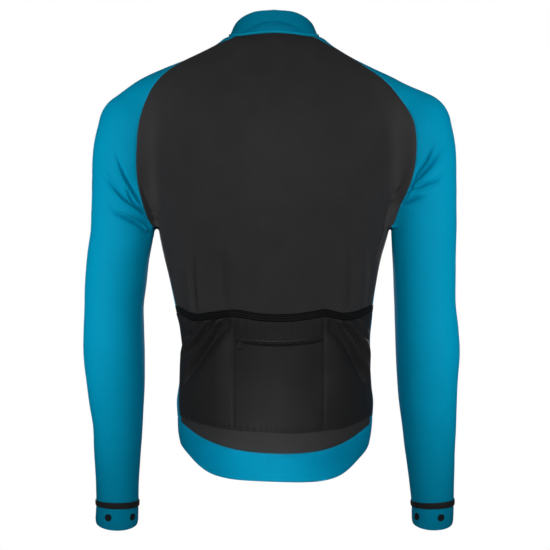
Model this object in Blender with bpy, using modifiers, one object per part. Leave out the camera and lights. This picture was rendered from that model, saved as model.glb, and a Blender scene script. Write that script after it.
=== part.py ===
"""Thermal cycling jacket, filled out as worn: black back with rear pockets, blue-green sleeves and fronts.

Sizes are millimetres and are scaled to metres when a mesh is made. X points to the wearer's left,
Y to the wearer's back and Z up. The origin is the middle of the neck, where the shoulders carry the jacket.

The cloth follows one smooth figure: a trunk of oval sections with two bent tubes for the arms. Every panel
is a grid between its seams, laid on that figure, and each seam is one curve that its two panels share.
"""

import math

import bmesh
import bpy
import numpy as np
from mathutils import Matrix, Vector

JACKET = "thermal_cycling_jacket"
MM = 0.001
SIDES = ("left", "right")

CLOTH = 1.5          # wall of every panel
SEAM_GAP = 0.3       # between neighbouring panels
LAYER_GAP = 0.7      # between a panel and what lies on it
TRIM = 1.2           # wall of what lies on a panel
TRIM_GAP = 0.5       # between the trim and what it lies on

# Trunk sections from the neck to below the hem
TRUNK_COLUMNS = ("height", "half_width", "middle", "back", "front", "power")
TRUNK = (
    (24, 44, 0, 44, 2, 1.7),
    (5.5, 65.5, 0.5, 53, 13, 1.7),
    (1.5, 74.5, 0.5, 55.5, 17, 1.7),
    (-3, 80.5, 0.5, 57.5, 21, 1.7),
    (-8, 87, 1, 60, 25, 1.75),
    (-17, 102.5, 2.5, 65, 32, 1.85),
    (-30, 127, 5, 72, 40, 2.0),
    (-45, 160, 8, 80, 47, 2.0),
    (-60, 192, 8, 87, 55, 2.0),
    (-78, 212, 4, 93, 64, 2.0),
    (-100, 206, 0, 100, 80, 2.1),
    (-140, 194, 0, 107, 101, 2.2),
    (-180, 187, 0, 111, 112, 2.3),
    (-240, 178, 0, 110, 118, 2.3),
    (-288, 172, 0.5, 105, 116, 2.3),
    (-324, 163, 2, 100, 112, 2.3),
    (-360, 155, 1, 95, 108, 2.3),
    (-396, 148.5, 0, 91, 105, 2.3),
    (-420, 145, -1.5, 89, 103, 2.3),
    (-444, 141, -3, 88, 102, 2.3),
    (-468, 141, -3, 89, 102, 2.3),
    (-492, 142, -2, 91, 103, 2.2),
    (-516, 144, -1.5, 94, 105, 2.2),
    (-540, 147, -1.5, 98, 107, 2.1),
    (-564, 146, -1.5, 101, 108, 2.1),
    (-590, 144, -1, 103, 108, 2.1),
    (-605, 141, -1, 104, 108, 2.1),
    (-625, 137, -0.5, 104, 107, 2.1),
    (-680, 133, 0, 102, 106, 2.1),
)

# Arm sections from the shoulder to the cuff's edge: the two arms hang a little differently
ARM_COLUMNS = ("height", "depth", "left_x", "left_radius", "right_x", "right_radius")
ARM = (
    (-131, 2, 210.5, 52, -212.5, 53),
    (-165, 3, 218, 52, -219.5, 52.5),
    (-210, 4, 222, 50.5, -222, 51),
    (-255, 5, 224.5, 48.5, -223.5, 49.8),
    (-288, 6, 227, 47.3, -224.2, 48.8),
    (-324, 8, 232.5, 46.5, -224.2, 47.3),
    (-360, 8, 236, 45.8, -225, 46.5),
    (-396, 7, 239, 44.3, -225.8, 45.8),
    (-435, 5, 239.6, 45.2, -228.5, 47.5),
    (-470, 3, 239.3, 45.7, -230.2, 47.9),
    (-504, 0, 237.8, 44.3, -230.2, 45.8),
    (-540, -4, 236.4, 41.3, -231, 43.5),
    (-577, -9, 234.8, 37.6, -233.3, 40.6),
    (-614, -14, 236, 35.5, -235.3, 37.7),
    (-662, -20, 236.7, 32.6, -238.1, 34),
    (-703, -25, 237.1, 31.8, -240.2, 31.6),
    (-726, -29, 238.4, 32, -240.2, 31),
)
ARM_CUTS = 70        # straight stretches that stand for an arm's centre line

BLEND_SHOULDER = 26  # width of the soft join of arm and trunk, at the shoulder and at the armpit
BLEND_ARMPIT = 22
ARMPIT_HEIGHT = -281

# Back raglan seam, from the neck to the armpit, on each side: across, depth, height
BACK_RAGLAN = {
    "left": (
        (55, 38, 2), (66, 27, -2.7), (77, 16, -6), (89, 5, -10), (105, 1, -19), (123, 4, -30),
        (151.5, 25, -48), (181, 42, -80), (197.7, 50, -125),
        (201.7, 54, -169), (200.5, 52, -213), (192, 44, -250), (183, 22, -276), (176.5, 4, -286),
    ),
    "right": (
        (-55, 38, 2), (-67, 28, -2), (-73, 22, -5.5), (-80.5, 17, -9), (-97, 14, -17.5), (-113, 14, -27),
        (-138, 25, -46.5), (-176, 42, -80), (-204.5, 50, -125),
        (-209, 54, -169), (-202, 52, -213), (-185, 42, -253), (-178, 20, -276), (-174.5, 4, -286),
    ),
}
# Front raglan seam on the left, down to the armpit; the right one mirrors it
FRONT_RAGLAN = (
    (58, -28, -18), (92, -42, -40), (132, -50, -74), (163, -58, -116), (181, -58, -160), (188, -54, -205),
    (187, -42, -245), (182, -20, -274),
)
# Middle of the sleeve's cap, along the shoulder's ridge, and the line inside that its rows turn round
OVERARM = (
    (67, 4, 3), (121, 0, -27), (170, 2, -45), (215, 3, -66), (246, 3, -92), (261, 3, -122),
    (269, 3, -162), (273.5, 4, -220), (274.5, 6, -286),
)
ARM_CORE = (
    (60, 2, -30), (121, 0, -66), (165, 2, -98), (195, 2, -120), (206, 2, -136), (217, 3, -168),
    (222, 4, -212), (225, 5, -255), (227, 6, -286),
)
# Side seam below the armpit: depth and height
SIDE_SEAM = {
    "left": ((3, -302), (8, -340), (18, -390), (27, -425), (38, -456), (34, -485), (33, -520), (31, -569)),
    "right": ((3, -302), (8, -340), (17, -390), (28, -425), (32, -456), (27, -485), (24, -520), (25, -568)),
}
# Neck seam from the middle of the back to the middle of the front, on the left
NECK_SEAM = (
    (0, 54, 4.3), (33, 49, 3.6), (53, 36, 2.6), (62.5, 22, 3.4), (65.5, 7, 4.6), (64.5, -6, 2),
    (62, -15, -5), (57, -28, -18), (45, -43, -38), (25, -56, -60), (0, -62, -71),
)
# Upper rim of the collar, along the same way
COLLAR_RIM = (
    (0, 47, 38.3), (31, 41, 35.7), (49, 28, 28.8), (57.5, 12, 22.2), (60, -5, 14.5),
    (56, -27, 1), (38, -49, -16), (0, -60, -28),
)
# Rows of the collar from its foot: share of the way up, and how far it stands out there
COLLAR_ROWS = ((0.0, 0.0), (0.18, 1.6), (0.34, -1.0), (0.5, 1.0), (0.75, 1.4), (1.0, 0.0))
COLLAR_FADE = (10, 32)  # heights of the collar between which its fold grows from nothing
COLLAR_LIFT = 1.0    # foot of the collar above the neck seam
COLLAR_MIDDLE = (0, -5, -10)
# Rows of the binding over the collar's foot: height above the foot, and thickness
BINDING_ROWS = ((0.3, 1.0), (1.2, 1.5), (2.8, 1.5), (3.9, 1.0))

# Hem band: its upper and lower edge by depth, so the tail hangs lower than the front
HEM_COLUMNS = ("depth", "top", "bottom")
HEM = (
    (-110, -548, -586), (-60, -556, -595), (0, -565, -604), (28, -569, -609), (46, -574.5, -618),
    (60, -582, -628.5), (76, -592, -640), (93, -602.5, -647.5), (105, -609.5, -650),
)
HEM_DROP = 5         # how much lower the right half of the tail hangs
HEM_ROWS = 3

# Rear pockets: height of the mouth and of the foot seam by place across, seen from behind
POCKET_COLUMNS = ("across", "mouth", "foot")
POCKET = (
    (-142, -408, -561), (-137, -410, -563), (-118, -417, -569.6), (-103, -418.9, -574.8), (-71, -413.4, -578),
    (-61, -415.2, -579.5), (-23, -420.2, -581), (17, -419.6, -578.5), (61, -413.7, -576.3),
    (91, -417.4, -571.9), (118, -419.5, -566.4), (141, -409, -560), (146, -408, -559),
)
POCKET_BAND_HEIGHT = 11.5
POCKET_BAND = 1.8         # wall of the elastic band
POCKET_FULLNESS = 1.6
POCKET_SIDE_MARGIN = 1.2  # from the side seam
POCKET_GRID = (7, 30)     # rows and columns
POCKET_MIDDLE = -490.0    # a height between the mouth and the foot

# Middle pocket's zip: its line across the pocket
POCKET_ZIP_COLUMNS = ("across", "height")
POCKET_ZIP = (
    (-71, -443.5), (-61, -446.5), (-40, -449.5), (-10, -451.5), (20, -450.5), (43, -447.5), (55, -443.5),
)
POCKET_ZIP_WIDTH = 6.0
POCKET_ZIP_CUTS = 24

# Height along the arm and lean of the edges at the wrist: ring from its top, cuff and its end
WRIST = {"ring_top": (-691.5, -4), "ring_bottom": (-700.2, -4), "cuff_end": (-726.5, 7)}
WRIST_RING_LIFT = 0.4

FRONT_EDGE = 4.3     # half of the gap that the front zip fills
ZIP_WIDTH = 8.0
FRONT_DEPTH = -120   # a depth ahead of the front, from which the front's middle is laid on the figure
SLIDER_HEIGHT = -38  # of the front slider, on the collar

# Sliders: across, up, thickness; pulls: width, length, thickness; pin: place above the slider's middle
ZIP_PULLS = {
    "front": {"slider": (8.0, 12.0, 2.4), "pull": (4.6, 21.0, 1.4), "pin": -2.5},
    "pocket": {"slider": (10.0, 7.0, 2.0), "pull": (4.0, 13.0, 1.2), "pin": 0.0},
}
POCKET_SLIDER_ACROSS = 48
PIN = 0.7            # radius
PLAY = 0.3           # round the pin and beside the pull
EYE_WALL = 0.8       # of the pull round the pin
EAR = 1.2            # thickness of the slider's ears
EAR_TIP = 1.7        # of the ears beyond the pin's middle
EAR_ROOT = 1.0       # of the ears inside the slider
ROUND_CUTS = 20

# Large folds. Each row: start, end, half width, and height (a soft ridge above 0, a trough below)
BACK_FOLDS = (
    ((186, 45, -196), (180, 40, -282), 11, -3.0),
    ((-205, 48, -185), (-181, 52, -262), 11, -3.5),
    ((-190, 56, -230), (-165, 66, -330), 13, 2.0),
    ((98, 80, -300), (86, 84, -398), 9, 1.8),
    ((-112, 72, -300), (-124, 66, -398), 9, 1.8),
)
SLEEVE_FOLDS = {
    "left": (
        ((182, 30, -272), (236, 50, -196), 9, -3.0),
        ((186, 38, -248), (252, 38, -150), 8, -2.6),
        ((184, 26, -284), (240, 44, -252), 9, -2.4),
    ),
    "right": (
        ((-184, 34, -262), (-232, 50, -196), 9, -3.0),
        ((-193, 46, -232), (-240, 46, -160), 8, -2.8),
        ((-182, 22, -282), (-232, 46, -240), 9, -2.4),
    ),
}
POCKET_FOLDS = (
    ((66, 84, -418), (112, 74, -520), 7, 2.2),
    ((84, 78, -418), (124, 60, -500), 6, 1.8),
    ((104, 68, -420), (134, 40, -480), 6, 1.6),
    ((-80, 80, -418), (-118, 72, -540), 7, 2.2),
    ((-100, 70, -420), (-134, 50, -520), 7, 1.8),
)

# Cuts of the grids
FINE_STEPS = 120
ROUND_STEPS = 600    # of a closed line round the neck
RAGLAN_STEPS = 16
SIDE_STEPS = 10
EAR_STEPS = 3        # first steps of the raglan seam, which are part of the back's top edge
BACK_COLUMNS = 20
FRONT_COLUMNS = 7
SLEEVE_COLUMNS = 20
ARM_STEPS = 11
COLLAR_COLUMNS = 32
ZIP_CUTS = 28

# Looks: colour, roughness and metallic value
LOOKS = {
    "black": ((0.018, 0.019, 0.021), 0.75, 0.0),
    "teal": ((0.0, 0.19, 0.29), 0.7, 0.0),
    "elastic": ((0.008, 0.009, 0.010), 0.8, 0.0),
    "metal": ((0.06, 0.06, 0.065), 0.4, 0.8),
}


# Curves and tables


def column(table, names, name):
    """One named column of a table."""
    return np.array([row[names.index(name)] for row in table], float)


def smooth_value(at, knots, values):
    """Values read from a smooth curve (cubic, slopes from the neighbours) through the knots."""
    order = np.argsort(knots)
    knots, values = np.asarray(knots, float)[order], np.asarray(values, float)[order]
    slopes = np.gradient(values, knots)
    at = np.clip(at, knots[0], knots[-1])
    i = np.clip(np.searchsorted(knots, at) - 1, 0, len(knots) - 2)
    width = knots[i + 1] - knots[i]
    t = (at - knots[i]) / width
    return (
        values[i] * (1 + 2 * t) * (1 - t) ** 2
        + values[i + 1] * t**2 * (3 - 2 * t)
        + width * (slopes[i] * t * (1 - t) ** 2 - slopes[i + 1] * t**2 * (1 - t))
    )


def from_table(at, table, names, name):
    """A column's smooth value at places along the table's first column."""
    return smooth_value(at, column(table, names, names[0]), column(table, names, name))


def smoothstep(low, high, value):
    t = np.clip((value - low) / (high - low), 0, 1)
    return t * t * (3 - 2 * t)


def spread(steps, first=1.0, last=1.0):
    """Shares from 0 to 1. The first and the last step are this long beside the middle ones."""
    place = np.linspace(0, 1, steps)
    step = np.interp(place, (0, 0.4, 0.6, 1), (first, 1, 1, last))
    return np.concatenate([[0], np.cumsum(step) / step.sum()])


def along(line):
    """Share of a line's length at each of its points."""
    length = np.concatenate([[0], np.cumsum(np.linalg.norm(np.diff(line, axis=0), axis=1))])
    return length / length[-1]


def resample(line, shares):
    """The same line with points at these shares of its length."""
    return np.stack([np.interp(shares, along(line), line[:, k]) for k in range(3)], axis=1)


def curve(points, shares):
    """Points at shares of the length of a smooth curve through a few points."""
    points = np.asarray(points, float)
    knots = along(points)
    at = np.linspace(0, 1, 40 * len(points))
    return resample(np.stack([smooth_value(at, knots, points[:, k]) for k in range(3)], axis=1), shares)


def unit(ways):
    return ways / np.maximum(np.linalg.norm(ways, axis=-1, keepdims=True), 1e-9)


def mirrored(points, side):
    return np.asarray(points, float) * ((1, 1, 1) if side == "left" else (-1, 1, 1))


def nearest(line, point):
    return int(np.argmin(np.linalg.norm(line - np.asarray(point, float), axis=1)))


# Rows stand closer near the neck and the armpit, where the seams bend most
RAGLAN_SPREAD = spread(RAGLAN_STEPS, 0.35, 0.35)
SIDE_SPREAD = spread(SIDE_STEPS, 0.35)
ARM_SPREAD = spread(ARM_STEPS, 0.35)


# The figure that the cloth follows


def trunk_section(height):
    """The trunk's sizes at some heights."""
    return {name: from_table(height, TRUNK, TRUNK_COLUMNS, name) for name in TRUNK_COLUMNS[1:]}


def arm_line(side):
    """Centre points and radii along one arm, a little past the cuff."""
    heights = column(ARM, ARM_COLUMNS, "height")
    height = np.linspace(heights[0], heights[-1], ARM_CUTS)
    read = {name: from_table(height, ARM, ARM_COLUMNS, name) for name in ARM_COLUMNS[1:]}
    centre = np.stack([read[side + "_x"], read["depth"], height], axis=1)
    beyond = centre[-1] + 4 * (centre[-1] - centre[-3])
    return np.vstack([centre, beyond]), np.append(read[side + "_radius"], read[side + "_radius"][-1])


ARM_LINE = {side: arm_line(side) for side in SIDES}


def trunk_field(points):
    """About the distance from the trunk's surface, negative inside."""
    x, y = points[..., 0], points[..., 1]
    read = trunk_section(points[..., 2])
    deep = np.where(y > 0, read["back"], read["front"])
    across = (np.abs(x - read["middle"]) / read["half_width"]) ** read["power"]
    along = (np.abs(y) / deep) ** read["power"]
    total = across + along + 1e-9
    reach = (across * read["half_width"] + along * deep) / total
    return (total ** (1 / read["power"]) - 1) * reach


def arm_field(points, side):
    """Distance from one arm's surface, negative inside: that of the nearest stretch of its centre line."""
    centre, radius = ARM_LINE[side]
    start, step = centre[:-1], np.diff(centre, axis=0)
    flat = points.reshape(-1, 1, 3)
    t = np.clip(((flat - start) * step).sum(-1) / (step**2).sum(-1), 0, 1)
    gap = np.linalg.norm(flat - start - t[..., None] * step, axis=-1)
    gap -= radius[:-1] + t * np.diff(radius)
    return gap.min(axis=1).reshape(points.shape[:-1])


def soft_union(a, b, width):
    near = np.maximum(width - np.abs(a - b), 0) / width
    return np.minimum(a, b) - near**2 * width / 4


def figure_field(points, part):
    """The whole figure above the armpits. Below them it is the named part alone, apart from the others."""
    height = points[..., 2]
    rise = smoothstep(ARMPIT_HEIGHT, ARMPIT_HEIGHT + 90, height)
    width = BLEND_ARMPIT + (BLEND_SHOULDER - BLEND_ARMPIT) * rise
    apart = 4 * np.maximum(ARMPIT_HEIGHT - 1 - height, 0)
    trunk = trunk_field(points)
    if part == "trunk":
        arms = np.minimum(arm_field(points, "left"), arm_field(points, "right"))
        return soft_union(trunk, arms + apart, width)
    return soft_union(arm_field(points, part), trunk + apart, width)


def slope(points, part):
    """Gradient of the figure's field, by central differences."""
    steps = np.eye(3) * 0.5
    return np.stack([figure_field(points + s, part) - figure_field(points - s, part) for s in steps], axis=-1)


def settle(points, part, free=(1, 1, 1)):
    """Points moved on to the figure. Low values of free hold them across, in depth or in height."""
    points = np.array(points, float)
    for _ in range(6):
        gradient = slope(points, part)
        move = gradient * free
        share = np.maximum((gradient * move).sum(-1), 1e-6)
        points -= move * (figure_field(points, part) / share)[..., None]
    return points


def outward(points, part):
    return unit(slope(points, part))


def folds(points, table):
    """Height of the folds at some points: each fades away from its line, and towards its ends."""
    total = np.zeros(points.shape[:-1])
    for start, end, half_width, height in table:
        start, step = np.array(start, float), np.subtract(end, start)
        t = ((points - start) @ step) / step.dot(step)
        away = np.linalg.norm(points - start - np.clip(t, 0, 1)[..., None] * step, axis=-1)
        fade = smoothstep(-0.12, 0.25, t) * (1 - smoothstep(0.55, 1.12, t))
        total += height * fade * np.exp(-((away / half_width) ** 2))
    return total


# Seams


def seam_on_figure(points, shares, start, end):
    """A seam through a few points, laid on the figure, with exact ends."""
    line = settle(curve(points, spread(FINE_STEPS)), "trunk", (0.05, 1, 0.05))
    line[0], line[-1] = start, end
    return resample(line, shares)


def side_point(side, depth, height):
    """The trunk's surface point at a depth and a height, on one side."""
    read = trunk_section(height)
    deep = read["back"] if depth > 0 else read["front"]
    reach = read["half_width"] * (1 - (abs(depth) / deep) ** read["power"]) ** (1 / read["power"])
    return np.array([read["middle"] + (reach if side == "left" else -reach), depth, height])


def hem_edge(angle, edge):
    """A point of the hem band's edge at an angle round the trunk: 0 is the left, a quarter turn the back."""
    x, y = math.cos(angle), math.sin(angle)
    height = column(HEM, HEM_COLUMNS, edge).mean()
    for _ in range(8):
        read = trunk_section(height)
        deep = read["back"] if y > 0 else read["front"]
        total = abs(x / read["half_width"]) ** read["power"] + abs(y / deep) ** read["power"]
        scale = total ** (-1 / read["power"])
        across = x * scale + read["middle"]
        drop = HEM_DROP * smoothstep(30, -110, across) * smoothstep(0, 30, y * scale)
        height = float(from_table(y * scale, HEM, HEM_COLUMNS, edge) - drop)
    return np.array([across, y * scale, height])


def front_angle(side, edge):
    """The angle at which the hem's edge meets the front zip."""
    x, y, _ = hem_edge(-math.pi / 2, edge)
    if side == "left":
        return math.atan2(y, FRONT_EDGE - x)
    return math.atan2(y, -FRONT_EDGE - x) + 2 * math.pi


def hem_line(start, end, edge, columns):
    return np.array([hem_edge(angle, edge) for angle in np.linspace(start, end, columns + 1)])


def neck_round():
    """The neck seam in fine steps: from the middle of the back over the left, the front and the right."""
    left = np.array(NECK_SEAM, float)
    right = (left * (-1, 1, 1))[::-1]
    return settle(curve([*left, *right[1:]], spread(ROUND_STEPS)), "trunk", (0.3, 1, 0.3))


def make_seams():
    """Every seam, as points that its two panels share."""
    neck = neck_round()
    seams = {"neck": neck}
    marks = {}
    for side in SIDES:
        marks["back_" + side] = nearest(neck, BACK_RAGLAN[side][0])
        marks["front_" + side] = nearest(neck, mirrored(FRONT_RAGLAN[0], side))
        edge = mirrored((FRONT_EDGE, *NECK_SEAM[-1][1:]), side)
        marks["edge_" + side] = nearest(neck, edge)
        neck[marks["edge_" + side], 0] = edge[0]
        armpit = settle(np.array([BACK_RAGLAN[side][-1]], float), "trunk", (0, 0, 1))[0]
        top = neck[marks["back_" + side]]
        seams["back_" + side] = seam_on_figure(BACK_RAGLAN[side], RAGLAN_SPREAD, top, armpit)
        top = neck[marks["front_" + side]]
        line = [*mirrored(FRONT_RAGLAN, side), armpit]
        seams["front_" + side] = seam_on_figure(line, RAGLAN_SPREAD, top, armpit)
        low = [side_point(side, depth, height) for depth, height in SIDE_SEAM[side]]
        middle = trunk_section(low[-1][2])["middle"]
        seams["hem_" + side] = math.atan2(low[-1][1], low[-1][0] - middle)
        foot = hem_edge(seams["hem_" + side], "top")
        seams["side_" + side] = seam_on_figure([armpit, *low[:-1], foot], SIDE_SPREAD, armpit, foot)
    rear = np.concatenate([neck[: marks["back_left"] + 1][::-1], neck[marks["back_right"] :][::-1]])
    middle = resample(rear, spread(BACK_COLUMNS - 2 * EAR_STEPS))
    left, right = (seams["back_" + side][1 : EAR_STEPS + 1] for side in SIDES)
    seams["back_top"] = np.vstack([left[::-1], middle, right])
    sleeve, front = spread(SLEEVE_COLUMNS), spread(FRONT_COLUMNS)
    seams["neck_sleeve_left"] = resample(neck[marks["back_left"] : marks["front_left"] + 1], sleeve)
    seams["neck_sleeve_right"] = resample(neck[marks["front_right"] : marks["back_right"] + 1][::-1], sleeve)
    seams["neck_front_left"] = resample(neck[marks["front_left"] : marks["edge_left"] + 1], front)
    seams["neck_front_right"] = resample(neck[marks["edge_right"] : marks["front_right"] + 1][::-1], front)
    whole = np.concatenate([neck[: marks["edge_left"] + 1][::-1], neck[marks["edge_right"] :][::-1]])
    seams["collar_foot"] = resample(whole, spread(COLLAR_COLUMNS))
    return seams


# Grids


def coons(bottom, top, first, last):
    """A grid between four curves that share their corners: rows go from bottom to top."""
    v = ((along(first) + along(last)) / 2)[:, None, None]
    u = ((along(bottom) + along(top)) / 2)[None, :, None]
    ruled = (1 - v) * bottom[None] + v * top[None] + (1 - u) * first[:, None] + u * last[:, None]
    low = (1 - u) * bottom[0] + u * bottom[-1]
    high = (1 - u) * top[0] + u * top[-1]
    return ruled - (1 - v) * low - v * high


def pull_in(grid, amount, edges):
    """Moves the named edges of a grid inwards, square to the edge, for the gap at a seam."""
    places = {
        "first": (np.s_[:, 0], np.s_[:, 1]),
        "last": (np.s_[:, -1], np.s_[:, -2]),
        "bottom": (np.s_[0], np.s_[1]),
        "top": (np.s_[-1], np.s_[-2]),
    }
    moved = grid.copy()
    for edge in edges:
        at, inner = places[edge]
        way = grid[inner] - grid[at]
        run = unit(np.gradient(grid[at], axis=0))
        moved[at] += amount * unit(way - (way * run).sum(-1, keepdims=True) * run)
    return moved


def fill_panel(bottom, top, first, last):
    """A trunk panel's points on the figure, with its four edges left as they are."""
    grid = coons(bottom, top, first, last)
    grid[1:-1, 1:-1] = settle(grid[1:-1, 1:-1], "trunk")
    return grid


def ring(side, height, lean=0.0):
    """A ring round one arm, from its inner side over the back, the outer side and the front."""
    centre, radius = ARM_LINE[side]
    heights = -centre[:, 2]

    def at(level):
        return np.array([np.interp(-level, heights, centre[:, k]) for k in range(3)])

    middle = at(height)
    reach = np.interp(-height, heights, radius)
    ahead = unit(at(height - 8) - at(height + 8))
    out = mirrored((1, 0, 0), side)
    out = unit(out - out.dot(ahead) * ahead)
    back = unit(np.array((0, 1, 0)) - ahead[1] * ahead)
    angle = np.linspace(math.pi, -math.pi, SLEEVE_COLUMNS + 1)[:, None]
    tilt = math.tan(math.radians(lean)) * ahead
    return middle + reach * (np.cos(angle) * out + np.sin(angle) * (back + tilt))


def over_shoulder(back, top, front, core):
    """One row of the sleeve's cap: from its back seam over the shoulder to its front seam, round the core."""
    up = unit(top - core)
    rear = unit(np.array((0, 1, 0)) - up[1] * up)
    along = np.cross(up, rear)
    ends = []
    for point, sign in ((back, 1), (front, -1)):
        arm = point - core
        angle = math.atan2(max(sign * arm.dot(rear), 0.001), arm.dot(up))
        ends.append((angle, math.hypot(arm.dot(rear), arm.dot(up)), arm.dot(along)))
    u = np.linspace(0, 1, SLEEVE_COLUMNS + 1)[:, None]
    at_back, at_top, at_front = 2 * (u - 0.5) * (u - 1), 4 * u * (1 - u), 2 * u * (u - 0.5)
    angle = (1 - u) * ends[0][0] - u * ends[1][0]
    reach = at_back * ends[0][1] + at_top * np.linalg.norm(top - core) + at_front * ends[1][1]
    shift = at_back * ends[0][2] + at_front * ends[1][2]
    return core + reach * (np.cos(angle) * up + np.sin(angle) * rear) + shift * along


def sleeve_grid(side, seams):
    """Rows from the neck to the cuff. From the armpit down, the last column meets the first."""
    tops = curve(mirrored(OVERARM, side), RAGLAN_SPREAD)
    cores = curve(mirrored(ARM_CORE, side), RAGLAN_SPREAD)
    back, front = seams["back_" + side], seams["front_" + side]
    rows = [seams["neck_sleeve_" + side]]
    for r in range(1, RAGLAN_STEPS + 1):
        row = settle(over_shoulder(back[r], tops[r], front[r], cores[r]), side)
        row[0], row[-1] = back[r], front[r]
        rows.append(row)
    grid = pull_in(np.array(rows), SEAM_GAP / 2, ("first", "last", "bottom"))
    end, lean = WRIST["ring_bottom"]
    for height in (ARMPIT_HEIGHT + (end - ARMPIT_HEIGHT) * ARM_SPREAD)[1:]:
        grid = np.concatenate([grid, ring(side, height, lean * smoothstep(-500, end, height))[None]])
    armpit, below = back[-1], grid[RAGLAN_STEPS + 1, 0]
    grid[RAGLAN_STEPS, 0] = grid[RAGLAN_STEPS, -1] = armpit + SEAM_GAP * unit(below - armpit)
    return grid


def normals(grid, away_from):
    """Unit normals of a grid by its neighbours, turned away from an inner point."""
    across, up = np.gradient(grid, axis=1), np.gradient(grid, axis=0)
    way = np.cross(across, up)
    way = unit(way)
    facing = ((grid - away_from) * way).sum(-1, keepdims=True)
    return np.where(facing < 0, -way, way)


# Solids


def finish(name, look):
    """A material of its own for one piece."""
    colour, roughness, metallic = LOOKS[look]
    material = bpy.data.materials.new(name)
    material.use_nodes = True
    shader = material.node_tree.nodes["Principled BSDF"]
    shader.inputs["Base Color"].default_value = (*colour, 1)
    shader.inputs["Roughness"].default_value = roughness
    shader.inputs["Metallic"].default_value = metallic
    return material


def wall(name, outer, inner, look, tube_from=None):
    """A closed cloth wall between two grids. From the row tube_from on, its first and last column are one."""
    rows, columns = outer.shape[:2]
    tube_from = rows if tube_from is None else tube_from
    solid = bmesh.new()
    sheets = []
    for sheet in (outer, inner):
        lines = [[solid.verts.new(point * MM) for point in row[:-1]] for row in sheet]
        for r, line in enumerate(lines):
            line.append(line[0] if r >= tube_from else solid.verts.new(sheet[r, -1] * MM))
        sheets.append(lines)
    front, back = sheets

    def face(*corners):
        distinct = list(dict.fromkeys(corners))
        if len(distinct) > 2:
            solid.faces.new(distinct)

    for r in range(rows - 1):
        for c in range(columns - 1):
            face(front[r][c], front[r][c + 1], front[r + 1][c + 1], front[r + 1][c])
            face(back[r][c], back[r + 1][c], back[r + 1][c + 1], back[r][c + 1])
        if r < tube_from:
            face(front[r][0], front[r + 1][0], back[r + 1][0], back[r][0])
            face(front[r][-1], back[r][-1], back[r + 1][-1], front[r + 1][-1])
    for c in range(columns - 1):
        face(front[0][c], back[0][c], back[0][c + 1], front[0][c + 1])
        face(front[-1][c], front[-1][c + 1], back[-1][c + 1], back[-1][c])
    bmesh.ops.recalc_face_normals(solid, faces=solid.faces)
    bmesh.ops.triangulate(solid, faces=solid.faces)
    mesh = bpy.data.meshes.new(name)
    solid.to_mesh(mesh)
    solid.free()
    mesh.shade_smooth()
    mesh.set_sharp_from_angle(angle=math.radians(40))
    mesh.materials.append(finish(name, look))
    bpy.data.collections[JACKET].objects.link(bpy.data.objects.new(name, mesh))


def lay(name, grid, part, look, lift=0.0, thickness=CLOTH, **closing):
    """A wall: its outer points lie the lift above the grid, its inner points the thickness below those."""
    way = outward(grid, part)
    lift = np.asarray(lift, float)[..., None]
    wall(name, grid + lift * way, grid + (lift - thickness) * way, look, **closing)


def make_trunk(seams):
    """Back and two fronts."""
    edges = {}
    for side in SIDES:
        for face, first in (("back_", EAR_STEPS), ("front_", 0)):
            rise = seams[face + side][first:-1][::-1]
            edges[face + side] = np.concatenate([seams["side_" + side][::-1], rise])
    bottom = hem_line(seams["hem_left"], seams["hem_right"], "top", BACK_COLUMNS)
    back = fill_panel(bottom, seams["back_top"], edges["back_left"], edges["back_right"])
    back = pull_in(back, SEAM_GAP / 2, ("first", "last", "bottom", "top"))
    lay("back_panel", back, "trunk", "black", folds(back, BACK_FOLDS))
    for side in SIDES:
        bottom = hem_line(seams["hem_" + side], front_angle(side, "top"), "top", FRONT_COLUMNS)
        top = seams["neck_front_" + side]
        centre = np.linspace(bottom[-1], top[-1], len(edges["front_" + side]))
        centre[1:-1, 1] = FRONT_DEPTH
        centre[1:-1] = settle(centre[1:-1], "trunk", (0, 1, 0))
        front = fill_panel(bottom, top, edges["front_" + side], centre)
        front = pull_in(front, SEAM_GAP / 2, ("first", "bottom", "top"))
        lay("front_" + side, front, "trunk", "teal")


def make_sleeves(seams):
    """Sleeves from the neck to the wrist, the rings that lie on their ends, and the cuffs."""
    top, lean = WRIST["ring_top"]
    bottom = WRIST["ring_bottom"][0]
    end, end_lean = WRIST["cuff_end"]
    for side in SIDES:
        grid = sleeve_grid(side, seams)
        lift = folds(grid, SLEEVE_FOLDS[side])
        lay("sleeve_" + side, grid, side, "teal", lift, tube_from=RAGLAN_STEPS)
        band = np.array([ring(side, height, lean) for height in (top, bottom)])
        lay("wrist_ring_" + side, band, side, "elastic", WRIST_RING_LIFT + TRIM, TRIM, tube_from=0)
        cuff = [(bottom - SEAM_GAP, lean), ((bottom + end) / 2, (lean + end_lean) / 2), (end, end_lean)]
        cuff = np.array([ring(side, height, slant) for height, slant in cuff])
        lay("cuff_" + side, cuff, side, "teal", tube_from=0)


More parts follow.
